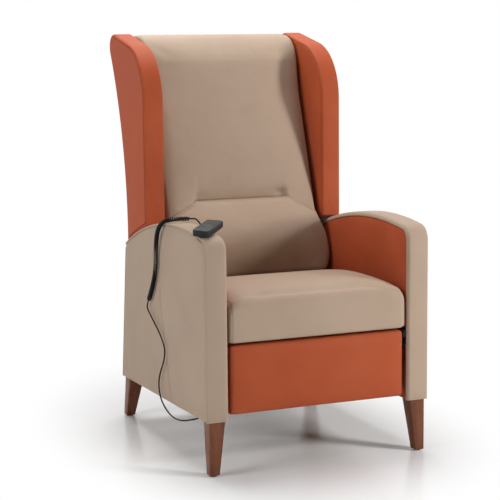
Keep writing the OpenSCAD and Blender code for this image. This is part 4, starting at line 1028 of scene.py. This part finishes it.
def wingFace(bm, x):
    spec = wingSpec
    lift = spec["footGap"]
    footFront, footRear = armTop(spec["frontY"], -lift), armTop(spec["lowY"], -lift)
    slope, end = math.radians(spec["slope"]), math.radians(spec["hollowEnd"])
    # the arm's crown, a little higher, closes the foot of the wing
    fromAngle, toAngle = crownAngle(spec["lowY"], -lift), crownAngle(spec["frontY"], -lift)
    moves = [("to", at(x, spec["frontY"], spec["frontCentre"][1])),
             ("arc", at(0, *spec["frontCentre"]), -(math.pi / 2 - slope), 16),
             ("to", at(x, spec["rearX"] + spec["rearR"] * math.cos(math.pi / 2 + slope),
                       spec["rearZ"] + spec["rearR"] * math.sin(math.pi / 2 + slope))),
             ("arc", at(0, spec["rearX"], spec["rearZ"]), -(math.pi / 2 + slope - (end - math.pi)), 12),
             ("arc", at(0, *spec["hollow"]), math.pi - end, 22),
             ("to", at(x, spec["lowY"], footRear)),
             ("arc", crownCentre, toAngle - fromAngle, 8)]
    return outlineFace(bm, at(x, spec["frontY"], footFront), moves)


def makeWing(side, word):
    spec = wingSpec
    bm = bmesh.new()
    middle = (spec["outer"] + spec["inner"]) / 2
    wide = (spec["outer"] - spec["inner"]) / 2
    seam = {"from": spec["seamFrom"], "width": spec["seamWidth"], "depth": spec["seamDepth"]}
    for way, lift in ((1, spec["lift"]), (-1, 0.6)):
        half = bmesh.new()
        face = wingFace(half, middle)
        thick = wide - (spec["lift"] - 1.2 if way > 0 else 0.6)
        padSide(half, face, thick, Vector((way, 0, 0)), spec["edge"], lift, spec["spacing"], 0.5, seam)
        # the halves meet in the middle of the strip, where each is left open
        flat = [f for f in half.faces if all(abs(v.co.x - middle / 1000) < 1e-6 for v in f.verts)]
        bmesh.ops.delete(half, geom=flat, context="FACES_ONLY")
        mesh = bpy.data.meshes.new("wingHalf")
        half.to_mesh(mesh)
        half.free()
        bm.from_mesh(mesh)
        bpy.data.meshes.remove(mesh)
    bmesh.ops.remove_doubles(bm, verts=bm.verts, dist=0.00005)
    onSide(bm, side)
    wing = finishPiece("wing" + word, bm, "back", "terracotta_leatherette",
                       ["wing_cover_" + word.lower()])


for side, word in sides:
    makeWing(side, word)
print("stage 6: wings covered")


# cushions: a loose cover is filled by pressure, then sewn in
def meshObject(name, bm):
    mesh = bpy.data.meshes.new(name)
    bm.to_mesh(mesh)
    bm.free()
    ob = bpy.data.objects.new(name, mesh)
    scene.collection.objects.link(ob)
    return ob


def evaluatedMesh(ob):
    depsgraph = bpy.context.evaluated_depsgraph_get()
    depsgraph.update()
    return bpy.data.meshes.new_from_object(ob.evaluated_get(depsgraph))


clothSpec = {"quality": 5, "mass": 0.3, "tension_stiffness": 18, "compression_stiffness": 18,
             "shear_stiffness": 10, "bending_stiffness": 6, "use_pressure": True}


def fillCushion(name, bm, voxel, limit, pressure, held, frames=20, calm=8):
    # remeshes the cover evenly, swells it as cloth, evens the swelling out and gives it back
    start = meshObject(name + "Start", bm)
    remesh = start.modifiers.new("even", "REMESH")
    remesh.mode = "VOXEL"
    remesh.voxel_size = voxel / 1000
    even = evaluatedMesh(start)
    bpy.data.objects.remove(start)
    before = [v.co.copy() for v in even.vertices]
    grip = [held(p) for p in before]
    after = before
    soft = bpy.data.objects.new(name + "Cloth", even)
    scene.collection.objects.link(soft)
    group = soft.vertex_groups.new(name="held")
    for i, weight in enumerate(grip):
        if weight > 0:
            group.add([i], weight, "REPLACE")
    cloth = soft.modifiers.new("fill", "CLOTH")
    for key, value in clothSpec.items():
        setattr(cloth.settings, key, value)
    cloth.settings.uniform_pressure_force = pressure
    cloth.settings.vertex_group_mass = "held"
    cloth.settings.effector_weights.gravity = 0
    cloth.collision_settings.use_collision = False
    cloth.point_cache.frame_start = 1
    cloth.point_cache.frame_end = frames
    for f in range(1, frames + 1):
        scene.frame_set(f)
    swollen = evaluatedMesh(soft)
    after = [v.co.copy() for v in swollen.vertices]
    bpy.data.objects.remove(soft)
    scene.frame_set(1)
    moves = []
    for a, b in zip(before, after):
        move = b - a
        if move.length > limit / 1000:
            move = move.normalized() * limit / 1000
        moves.append(move)
    beside = [[] for _ in before]
    for edge in even.edges:
        a, b = edge.vertices
        beside[a].append(b)
        beside[b].append(a)
    for _ in range(calm):
        moves = [(m + sum((moves[j] for j in near), Vector()) / max(1, len(near))) / 2
                 for m, near in zip(moves, beside)]
    print("  %s: %d points, largest swelling %.1f mm" % (name, len(before), 1000 * max(m.length for m in moves)))
    out = bmesh.new()
    out.from_mesh(even)
    for v, a, move, grasp in zip(out.verts, before, moves, grip):
        v.co = a + move * (1 - grasp)
    return out


def relax(bm, times, amount=0.5):
    for _ in range(times):
        bmesh.ops.smooth_vert(bm, verts=bm.verts, factor=amount, use_axis_x=True, use_axis_y=True, use_axis_z=True)


def halve(bm):
    # one subdivision, rounded off, fine enough for seams
    bmesh.ops.subdivide_edges(bm, edges=bm.edges, cuts=1, use_grid_fill=True)
    relax(bm, 2)
    bm.normal_update()


def softLimit(value, low, high, ease):
    # keeps a coordinate inside its space, rounding off into the limit
    if value > high - ease:
        return high - ease * math.exp(-(value - high + ease) / ease)
    if value < low + ease:
        return low + ease * math.exp((value - low - ease) / ease)
    return value


def endShrink(u, amount):
    # how far a cushion's section is drawn in close to its ends, where u goes from 0 to 1
    return 1.5 + amount * (1 - math.sqrt(max(0.0, 1 - (max(0.0, u - 0.955) / 0.045) ** 2)))


# shares of the half width at which a cushion's section is drawn, closer together at the ends
endShares = [0.7, 0.78, 0.84, 0.89, 0.93, 0.955, 0.972, 0.985, 0.994, 1.0]


def loftCushion(bm, ring, shares):
    loftRings(bm, [ring(-u) for u in shares[:0:-1]] + [ring(u) for u in shares])


# seat cushion: flat front that rolls over, crowned top, ends that fall away to the arms
seatSpec = {"half": 267.5, "frontY": 2.0, "rearY": 499.0, "low": 358.6, "frontTop": 484.0, "rearTop": 456.0,
            "roll": 33.0, "lowRound": 5.0, "crown": 21.0, "endFall": 22.0, "endRound": 7.0, "voxel": 6.0,
            "limit": 8.0, "pressure": 1.2, "seamDepth": 1.6, "seamWidth": 1.5, "seamInset": 9.0,
            "beadY": 18.5, "bead": 2.4, "beadWidth": 9.0, "dip": 3.4, "dipBehind": 25.0, "dipWidth": 13.0}


def seatRing(share):
    # the cushion's section from front to rear, at a share of its half width
    spec = seatSpec
    u = abs(share)
    shrink = endShrink(u, spec["endRound"])
    fall = spec["endFall"] * (u ** 18)
    frontY, low = spec["frontY"] + shrink, spec["low"] + shrink * 0.6
    top = spec["frontTop"] - fall - shrink * 0.6
    r, lr = spec["roll"], spec["lowRound"]
    pts = [(frontY + lr * (1 - math.sin(math.radians(a))), low + lr * (1 - math.cos(math.radians(a))))
           for a in (0, 30, 60, 90)]
    pts += [(frontY, low + 14), (frontY, low + 40), (frontY, top - r - 12)]
    for k in range(8):
        a = math.radians(180 - 84 * k / 7)
        pts.append((frontY + r + r * math.cos(a), top - r + r * math.sin(a)))
    rear = spec["rearY"] - shrink
    first = frontY + r + 8
    for k in range(12):
        t = k / 11
        drop = (spec["frontTop"] - spec["rearTop"]) * t ** 1.4
        swell = spec["crown"] * math.sin(math.pi * min(1.0, t * 0.92 + 0.08)) * (1 - u ** 7)
        pts.append((first + (rear - 24 - first) * t, top - drop + swell))
    last = top - (spec["frontTop"] - spec["rearTop"])
    pts += [(rear - 9, last - 3), (rear - 2, last - 10), (rear, last - 24), (rear, low + 20), (rear - 2, low + 4),
            (rear - 7, low)]
    return [at(share * (spec["half"] - 0.5), y, z) for y, z in pts]


def makeSeat():
    spec = seatSpec
    bm = bmesh.new()
    loftCushion(bm, seatRing, [0, 0.15, 0.3, 0.45, 0.6] + endShares)
    lowEdge, rearEdge = (spec["low"] + 12) / 1000, at(0, spec["rearY"] - 20, 0).y
    frontEdge = at(0, spec["frontY"] + 6, 0).y

    def held(p):
        if p.z < lowEdge or p.y > rearEdge:
            return 1.0
        return 0.6 if p.y < frontEdge else 0.0

    bm = fillCushion("seatCushion", bm, spec["voxel"], spec["limit"], spec["pressure"], held)
    limitX, lowZ = spec["half"] / 1000, spec["low"] / 1000
    frontY = at(0, 1.0, 0).y
    for v in bm.verts:
        v.co.x = softLimit(v.co.x, -limitX, limitX, 0.003)
        v.co.z = max(v.co.z, lowZ)
        v.co.y = softLimit(v.co.y, frontY, 1.0, 0.002)
    relax(bm, 2)
    halve(bm)
    # the side seams run up the front and along the top, a little in from the ends
    seamX = (spec["half"] - spec["seamInset"]) / 1000
    for v in bm.verts:
        d = (abs(v.co.x) - seamX) * 1000 / spec["seamWidth"]
        if abs(d) < 4 and (v.normal.z > 0.2 or v.normal.y < -0.2):
            v.co -= v.normal * spec["seamDepth"] / 1000 * math.exp(-d * d)
    # the front roll stands up as a soft bead, with a shallow dip behind it
    for v in bm.verts:
        back = v.co.y * 1000 + chair["midDepth"] - spec["beadY"]
        if abs(back) < 70 and v.normal.z > 0.1:
            lift = spec["bead"] * math.exp(-(back / spec["beadWidth"]) ** 2)
            lift -= spec["dip"] * math.exp(-((back - spec["dipBehind"]) / spec["dipWidth"]) ** 2)
            v.co += v.normal * lift / 1000 * (1 - (abs(v.co.x) * 1000 / spec["half"]) ** 10)
    seat = finishPiece("seatCushion", bm, "base", "beige_leatherette", ["seat_cushion"], 60)


makeSeat()
print("stage 7: seat cushion filled")

# back cushion: full below the lumbar crease, carried over the top rail to the rear cover
backSpec = {"half": 254.5, "lowZ": 441.0, "rollZ": 1095.0, "creaseZ": 686.5, "creaseHalf": 150.0,
            "creaseDepth": 24.0, "creaseWidth": 18.0, "seamEndX": 252.0, "seamEndZ": 634.0, "seamDepth": 4.0,
            "seamWidth": 4.0, "dimple": 8.0, "dimpleWidth": 12.0, "head": 10.5, "headLow": 985.0, "headTall": 140.0,
            "spread": 10.5, "spreadLow": 468.0, "spreadTop": 574.0, "voxel": 7.5, "limit": 8.0, "pressure": 1.2,
            "lumbar": 34.0, "lumbarTall": 197.0, "upper": 10.0, "upperTall": 420.0, "endRound": 9.0, "pinch": 14.0,
            "faceFrom": 466, "faceTo": 1118, "faceSteps": 39, "rollY": 84, "rollDeep": 90, "rollTall": 88,
            "rearFrom": 1110, "rearTo": 482, "rearSteps": 5, "rearThick": 84.6, "highest": 1186.5}


def faceY(z):
    return chair["backFootY"] + (z - chair["backFootZ"]) * chair["backRake"]


def seamLineZ(x):
    # level across the middle, then down to each side
    spec = backSpec
    over = max(0.0, (abs(x) - spec["creaseHalf"]) / (spec["seamEndX"] - spec["creaseHalf"]))
    return spec["creaseZ"] - over * (spec["creaseZ"] - spec["seamEndZ"])


def backPuff(x, z):
    # how far the cover stands in front of the flat back: full lumbar, gentle upper part
    spec = backSpec
    below = (seamLineZ(x) - z) / spec["lumbarTall"]
    u = abs(x) / spec["half"]
    if below > 0:
        return spec["lumbar"] * max(0.0, math.sin(math.pi * min(1.0, below) ** 0.84)) ** 0.78 * (1 - 0.25 * u ** 4)
    above = -below * spec["lumbarTall"] / spec["upperTall"]
    full = spec["upper"] * math.sin(math.pi * min(1.0, above)) * (1 - u ** 6)
    return full + spec["head"] * smoothStep((z - spec["headLow"]) / spec["headTall"])


def sideSpread(y, z):
    # the lumbar part spreads towards the arms below the wings
    spec = backSpec
    tall = smoothStep((z - spec["spreadLow"]) / 24) * (1 - smoothStep((z - spec["spreadTop"]) / 40))
    return spec["spread"] * tall * (1 - smoothStep((y - faceY(z) - 8) / 40))


def backRing(share):
    spec = backSpec
    u = abs(share)
    shrink = endShrink(u, spec["endRound"])
    x = share * (spec["half"] - 0.5)
    pts = [(512.0, spec["lowZ"]), (503.0, spec["lowZ"] + 2), (497.0 + shrink * 0.5, spec["lowZ"] + 9)]
    for k in range(spec["faceSteps"] + 1):
        z = spec["faceFrom"] + (spec["faceTo"] - spec["faceFrom"]) * k / spec["faceSteps"]
        pts.append((faceY(z) + shrink - backPuff(x, z), z))
    # round the top roll and down to the cover's edge behind it
    rollY, deep, tall = faceY(spec["rollZ"]) + spec["rollY"], spec["rollDeep"] - shrink, spec["rollTall"] - shrink
    for k in range(1, 9):
        a = math.radians(161 - 66 * k / 8)
        pts.append((rollY + deep * math.cos(a), spec["rollZ"] + tall * math.sin(a)))
    pts += [(800, 1186.0 - shrink), (818, 1185.0 - shrink), (829.5 - shrink * 0.3, 1180.8 - shrink * 0.8),
            (837.6 - shrink * 0.6, 1174.6 - shrink * 0.6), (842.6 - shrink * 0.6, 1167.7),
            (838, 1162.5), (829, 1160), (815, 1150), (807, 1130), (faceY(1112) + 93, 1127)]
    for k in range(spec["rearSteps"] + 1):
        z = spec["rearFrom"] + (spec["rearTo"] - spec["rearFrom"]) * k / spec["rearSteps"]
        pts.append((faceY(z) + spec["rearThick"], z))
    pts.append((faceY(440) + 79, spec["lowZ"]))
    return [at(x + share * sideSpread(y, z), y, z) for y, z in pts]


def makeBack():
    spec = backSpec
    bm = bmesh.new()
    loftCushion(bm, backRing, [0, 0.15, 0.3, 0.45, 0.56, 0.62] + endShares)

    def held(p):
        z, y = p.z * 1000, p.y * 1000 + chair["midDepth"]
        return 1.0 if y > faceY(z) + 66 or z < spec["lowZ"] + 14 or z > 1183 else 0.0

    bm = fillCushion("backCushion", bm, spec["voxel"], spec["limit"], spec["pressure"], held)
    for v in bm.verts:
        limitX = (spec["half"] + sideSpread(v.co.y * 1000 + chair["midDepth"], v.co.z * 1000)) / 1000
        v.co.x = softLimit(v.co.x, -limitX, limitX, 0.003)
        v.co.z = min(v.co.z, spec["highest"] / 1000)
    relax(bm, 2)
    # draws the points together along the crease, so that the fold stays sharp
    for v in bm.verts:
        d = v.co.z * 1000 - seamLineZ(v.co.x * 1000)
        if v.normal.y < 0.3 and abs(d) < 60:
            slide = d * 0.45 * math.exp(-(d / spec["pinch"]) ** 2)
            v.co.z -= slide / 1000
            v.co.y -= slide * chair["backRake"] / 1000
    halve(bm)
    for v in bm.verts:
        if v.normal.y > -0.2:
            continue
        x, z = v.co.x * 1000, v.co.z * 1000
        d = z - seamLineZ(x)
        ease = smoothStep((abs(x) - spec["creaseHalf"] + 14) / 28)
        depth = spec["creaseDepth"] * (1 - ease) + spec["seamDepth"] * ease
        width = spec["creaseWidth"] * (1 - ease) + spec["seamWidth"] * ease
        # the fold is steep from below and eases off above it
        push = depth * math.exp(-abs(d) / (width if d > 0 else width * 0.2))
        out = math.hypot((abs(x) - spec["creaseHalf"] + 18) * 0.55, z - spec["creaseZ"] - 15)
        push += spec["dimple"] * (1.0 if x > 0 else 0.3) * math.exp(-(out / spec["dimpleWidth"]) ** 2)
        v.co.y += push / 1000
    back = finishPiece("backCushion", bm, "back", "beige_leatherette", ["back_cushion"], 70)
    return back


backCushion = makeBack()

# fine piping along the two slanting seams of the back
pipingSpec = {"wire": 2.3, "from": 143.0, "to": 248.0, "drop": 4.0, "steps": 44, "sink": 0.3, "startY": 380.0,
              "calm": 3, "tip": 0.35}


def makePiping(side, word):
    spec = pipingSpec
    mesh = backCushion.data
    surface = BVHTree.FromPolygons([v.co for v in mesh.vertices], [p.vertices[:] for p in mesh.polygons])
    bm = bmesh.new()
    centres = []
    for k in range(spec["steps"] + 1):
        x = spec["from"] + (spec["to"] - spec["from"]) * k / spec["steps"]
        start = Vector((side * x / 1000, at(0, spec["startY"], 0).y, (seamLineZ(x) - spec["drop"]) / 1000))
        hit = surface.ray_cast(start, Vector((0, 1, 0)))
        centres.append(hit[0] + Vector((0, spec["sink"] / 1000, 0)))
    for _ in range(spec["calm"]):
        eased = [(a + b * 2 + c) / 4 for a, b, c in zip(centres, centres[1:], centres[2:])]
        centres = [centres[0]] + eased + [centres[-1]]
    rings = []
    for k, c in enumerate(centres):
        way = (centres[min(k + 1, len(centres) - 1)] - centres[max(k - 1, 0)]).normalized()
        e = way.cross(Vector((0, 1, 0))).normalized()
        r = spec["wire"] / 1000 * (spec["tip"] if k in (0, len(centres) - 1) else 1.0)
        rings.append(roundRing(c, e, way.cross(e), r, 10))
    loftRings(bm, rings)
    finishPiece("backPiping" + word, bm, "back", "beige_leatherette", (), 50)


for side, word in sides:
    makePiping(side, word)
print("stage 8: back cushion filled")

# leg rest: a firm padded panel with soft edges
restSpec = {"half": 264.0, "frontY": 9.5, "rearY": 49.5, "top": 353.0, "low": 161.0, "bulge": 3.0,
            "voxel": 5.0, "limit": 6.0, "pressure": 1.2, "cornerRound": 9.0,
            "pivotZ": 339.0, "swingFront": 9.1, "swingSlope": 0.18}


def makeRest():
    spec = restSpec
    bm = bmesh.new()
    rows = []
    front, rear = spec["frontY"] + 2.0, spec["rearY"]
    # rings from the rear face to the front face, drawn in as they come forward
    for y, pull in ((rear, 0.6), (rear - 8, 0.3), (front + 9, 0.4), (front + 6, 1.1), (front + 3.4, 2.6),
                    (front + 1.4, 4.8), (front + 0.3, 7.8)):
        outline = roundedCorners(spec["half"] - pull, spec["low"] + pull, spec["top"] - pull,
                                 spec["cornerRound"], 4)
        rows.append([at(x, y, z) for x, z in outline])
    loftRings(bm, rows)
    rearPlane = at(0, rear - 8, 0).y
    bm = fillCushion("restPanel", bm, spec["voxel"], spec["limit"], spec["pressure"],
                     lambda p: 1.0 if p.y > rearPlane else 0.0, 12, 10)
    limitX = spec["half"] / 1000
    midZ, tall = (spec["top"] + spec["low"]) / 2000, (spec["top"] - spec["low"]) / 2000
    for v in bm.verts:
        v.co.x = softLimit(v.co.x, -limitX, limitX, 0.002)
        v.co.z = softLimit(v.co.z, spec["low"] / 1000 - 0.0005, spec["top"] / 1000 + 0.0005, 0.002)
        if v.co.y < rearPlane:
            across, up = abs(v.co.x) / limitX, abs(v.co.z - midZ) / tall
            v.co.y -= spec["bulge"] / 1000 * (1 - min(1.0, across) ** 4) * (1 - min(1.0, up) ** 3)
        # near its top edge the pad stays slim enough to swing up under the seat
        slim = at(0, spec["swingFront"] + spec["swingSlope"] * (v.co.z * 1000 - spec["pivotZ"]), 0).y
        v.co.y = softLimit(v.co.y, slim, 1.0, 0.0015)
    relax(bm, 2)
    halve(bm)
    rest = finishPiece("restPanel", bm, "leg_rest", "terracotta_leatherette", ["rest_pad"], 60)


makeRest()
print("stage 9: leg rest filled")

# rear cover between the wings
coverSpec = {"inset": 2.0, "thick": 8.0, "half": 257.6, "lowZ": 352.0, "highZ": 1150.0, "from": 31.0, "swell": 3.0}


def makeCover():
    spec = coverSpec
    bm = bmesh.new()
    rear, hollow = at(0, wingSpec["rearX"], wingSpec["rearZ"]), at(0, *wingSpec["hollow"])
    end = math.radians(wingSpec["hollowEnd"])
    r = wingSpec["rearR"] - spec["inset"]
    begin = math.radians(spec["from"])
    last = bm.verts.new(at(-spec["half"], wingSpec["rearX"] + r * math.cos(begin),
                           wingSpec["rearZ"] + r * math.sin(begin)))
    edges = []
    shares = [-1, -0.99, -0.97, -0.94, -0.9] + [k / 10 for k in range(-8, 9)] + [0.9, 0.94, 0.97, 0.99, 1]
    for a, b in zip(shares, shares[1:]):
        out = bmesh.ops.extrude_vert_indiv(bm, verts=[last])
        last = out["verts"][0]
        edges.append(out["edges"][0])
        last.co.x += (b - a) * spec["half"] / 1000
    sweepRing(bm, edges, [
        ("arc", rear, -(begin - (end - math.pi)), 8),
        ("arc", hollow, math.pi - end, 34),
        ("line", at(0, wingSpec["lowY"], spec["lowZ"]) - at(0, wingSpec["lowY"], wingSpec["footZ"]), 12)])
    tidyMesh(bm)
    if sum((f.normal.y * f.calc_area() for f in bm.faces)) < 0:
        bmesh.ops.reverse_faces(bm, faces=bm.faces)
    bm.normal_update()
    # a little fuller in the middle of the upper and of the lower part
    moves = []
    for v in bm.verts:
        x, z = v.co.x * 1000, v.co.z * 1000
        tall = math.sin(math.pi * min(1.0, max(0.0, (z - spec["lowZ"]) / (spec["highZ"] - spec["lowZ"]))))
        moves.append(v.normal * -(spec["swell"] * (1 - tall ** 0.5 * (1 - (abs(x) / spec["half"]) ** 6))) / 1000)
    for v, move in zip(bm.verts, moves):
        v.co += move
    bmesh.ops.solidify(bm, geom=bm.faces[:], thickness=spec["thick"] / 1000)
    tidyMesh(bm)
    cover = finishPiece("rearCover", bm, "back", "terracotta_leatherette", ["back_cover"])


makeCover()

# legs: tapered on the inner side, small chamfers at the foot
legShape = {"outer": 327.0, "top": 46.0, "foot": 28.0, "frontY": 4.0, "rearY": 681.0, "rearFootY": 723.0,
            "glide": 3.0, "chamfer": 3.0, "edge": 2.2}


def makeLeg(side, word, topY, footY, rank):
    spec = legShape
    bm = bmesh.new()
    bmesh.ops.create_cube(bm, size=1.0)
    outer = spec["outer"]
    for v in bm.verts:
        top = v.co.z > 0
        wide = spec["top"] if top else spec["foot"]
        startY = topY if top else footY
        x = outer if v.co.x > 0 else outer - wide
        y = startY + (wide if v.co.y > 0 else 0.0)
        v.co = at(x, y, underZ(y) if top else spec["glide"])
    upright = [e for e in bm.edges if abs(e.verts[0].co.z - e.verts[1].co.z) > 0.05]
    bevelEdges(bm, upright, spec["edge"], 3)
    foot = [e for e in bm.edges if max(v.co.z for v in e.verts) < spec["glide"] / 1000 + 0.0001]
    bevelEdges(bm, foot, spec["chamfer"], 2)
    onSide(bm, side)
    finishPiece(rank + "Leg" + word, bm, "base", "leg_wood", [rank + "_leg_" + word.lower()], 30)


for side, word in sides:
    makeLeg(side, word, legShape["frontY"], legShape["frontY"], "front")
    makeLeg(side, word, legShape["rearY"], legShape["rearFootY"], "rear")
print("stage 10: rear cover and legs made")

# the room: pale floor that fades into white, soft lamps above, in front and at the side
roomSpec = {"floor": 9.0, "fill": 0.06, "floorTone": (0.95, 0.95, 0.955), "floorRough": 0.2,
            "floorIor": 1.28, "fadeShape": (1.3, 0.8, 1.0), "fadeFrom": 0.44, "fadeTo": 0.9,
            "lampAim": (0.0, 0.0, 0.6)}
lampSpec = {"overheadLamp": {"place": (0.0, 0.7, 2.7), "size": 1.9, "power": 54.0},
            "frontLamp": {"place": (1.85, -2.25, 1.02), "size": 0.3, "power": 22.0},
            "highLamp": {"place": (1.9, -2.0, 1.5), "size": 0.5, "power": 35.0},
            "sideLamp": {"place": (-3.0, -0.6, 1.5), "size": 1.6, "power": 38.0}}


def makeFloor():
    # a pale floor that keeps the chair's shadow and fades into the white background
    bm = bmesh.new()
    bmesh.ops.create_grid(bm, x_segments=8, y_segments=8, size=roomSpec["floor"])
    floor = meshObject("studioFloor", bm)
    look, tree, shader, place = newFinish("studioFloor")
    setShader(tree, shader, {"Base Color": (*roomSpec["floorTone"], 1), "Roughness": roomSpec["floorRough"],
                             "IOR": roomSpec["floorIor"]})
    far = addNode(tree, "VectorMath", operation="LENGTH")
    plug(tree, far.inputs[0], stretched(tree, place, roomSpec["fadeShape"]))
    fade = mapRange(tree, far.outputs["Value"], roomSpec["fadeFrom"], roomSpec["fadeTo"], 0.0, 1.0, True)
    white = addNode(tree, "Emission", Strength=1.0)
    both = addNode(tree, "MixShader")
    for i, source in enumerate((times(tree, fade, seenByCamera(tree)), shader.outputs[0], white.outputs[0])):
        plug(tree, both.inputs[i], source)
    plug(tree, tree.nodes["Material Output"].inputs["Surface"], both.outputs[0])
    floor.data.materials.append(look)


def seenByCamera(tree):
    rays = addNode(tree, "LightPath")
    return math2(tree, "MAXIMUM", rays.outputs["Is Camera Ray"],
                 math2(tree, "MAXIMUM", rays.outputs["Is Glossy Ray"], rays.outputs["Is Transmission Ray"]))


def makeLight():
    world = bpy.data.worlds.new("studioFill")
    scene.world = world
    world.use_nodes = True
    tree = world.node_tree
    tree.nodes.clear()
    level = mapRange(tree, seenByCamera(tree), 0.0, 1.0, roomSpec["fill"], 1.0)
    ground = addNode(tree, "Background", Color=(1, 1, 1, 1), Strength=level)
    plug(tree, addNode(tree, "OutputWorld").inputs[0], ground.outputs[0])
    for name, spec in lampSpec.items():
        way = Vector(roomSpec["lampAim"]) - Vector(spec["place"])
        lamp = bpy.data.lights.new(name, "AREA")
        lamp.shape = "DISK"
        lamp.size = spec["size"]
        lamp.energy = spec["power"]
        stand = bpy.data.objects.new(name, lamp)
        stand.location = spec["place"]
        stand.rotation_mode = "QUATERNION"
        stand.rotation_quaternion = way.to_track_quat("-Z", "Y")
        scene.collection.objects.link(stand)


makeFloor()
makeLight()
scene.view_settings.view_transform = "Standard"
print("stage 11: room lit")
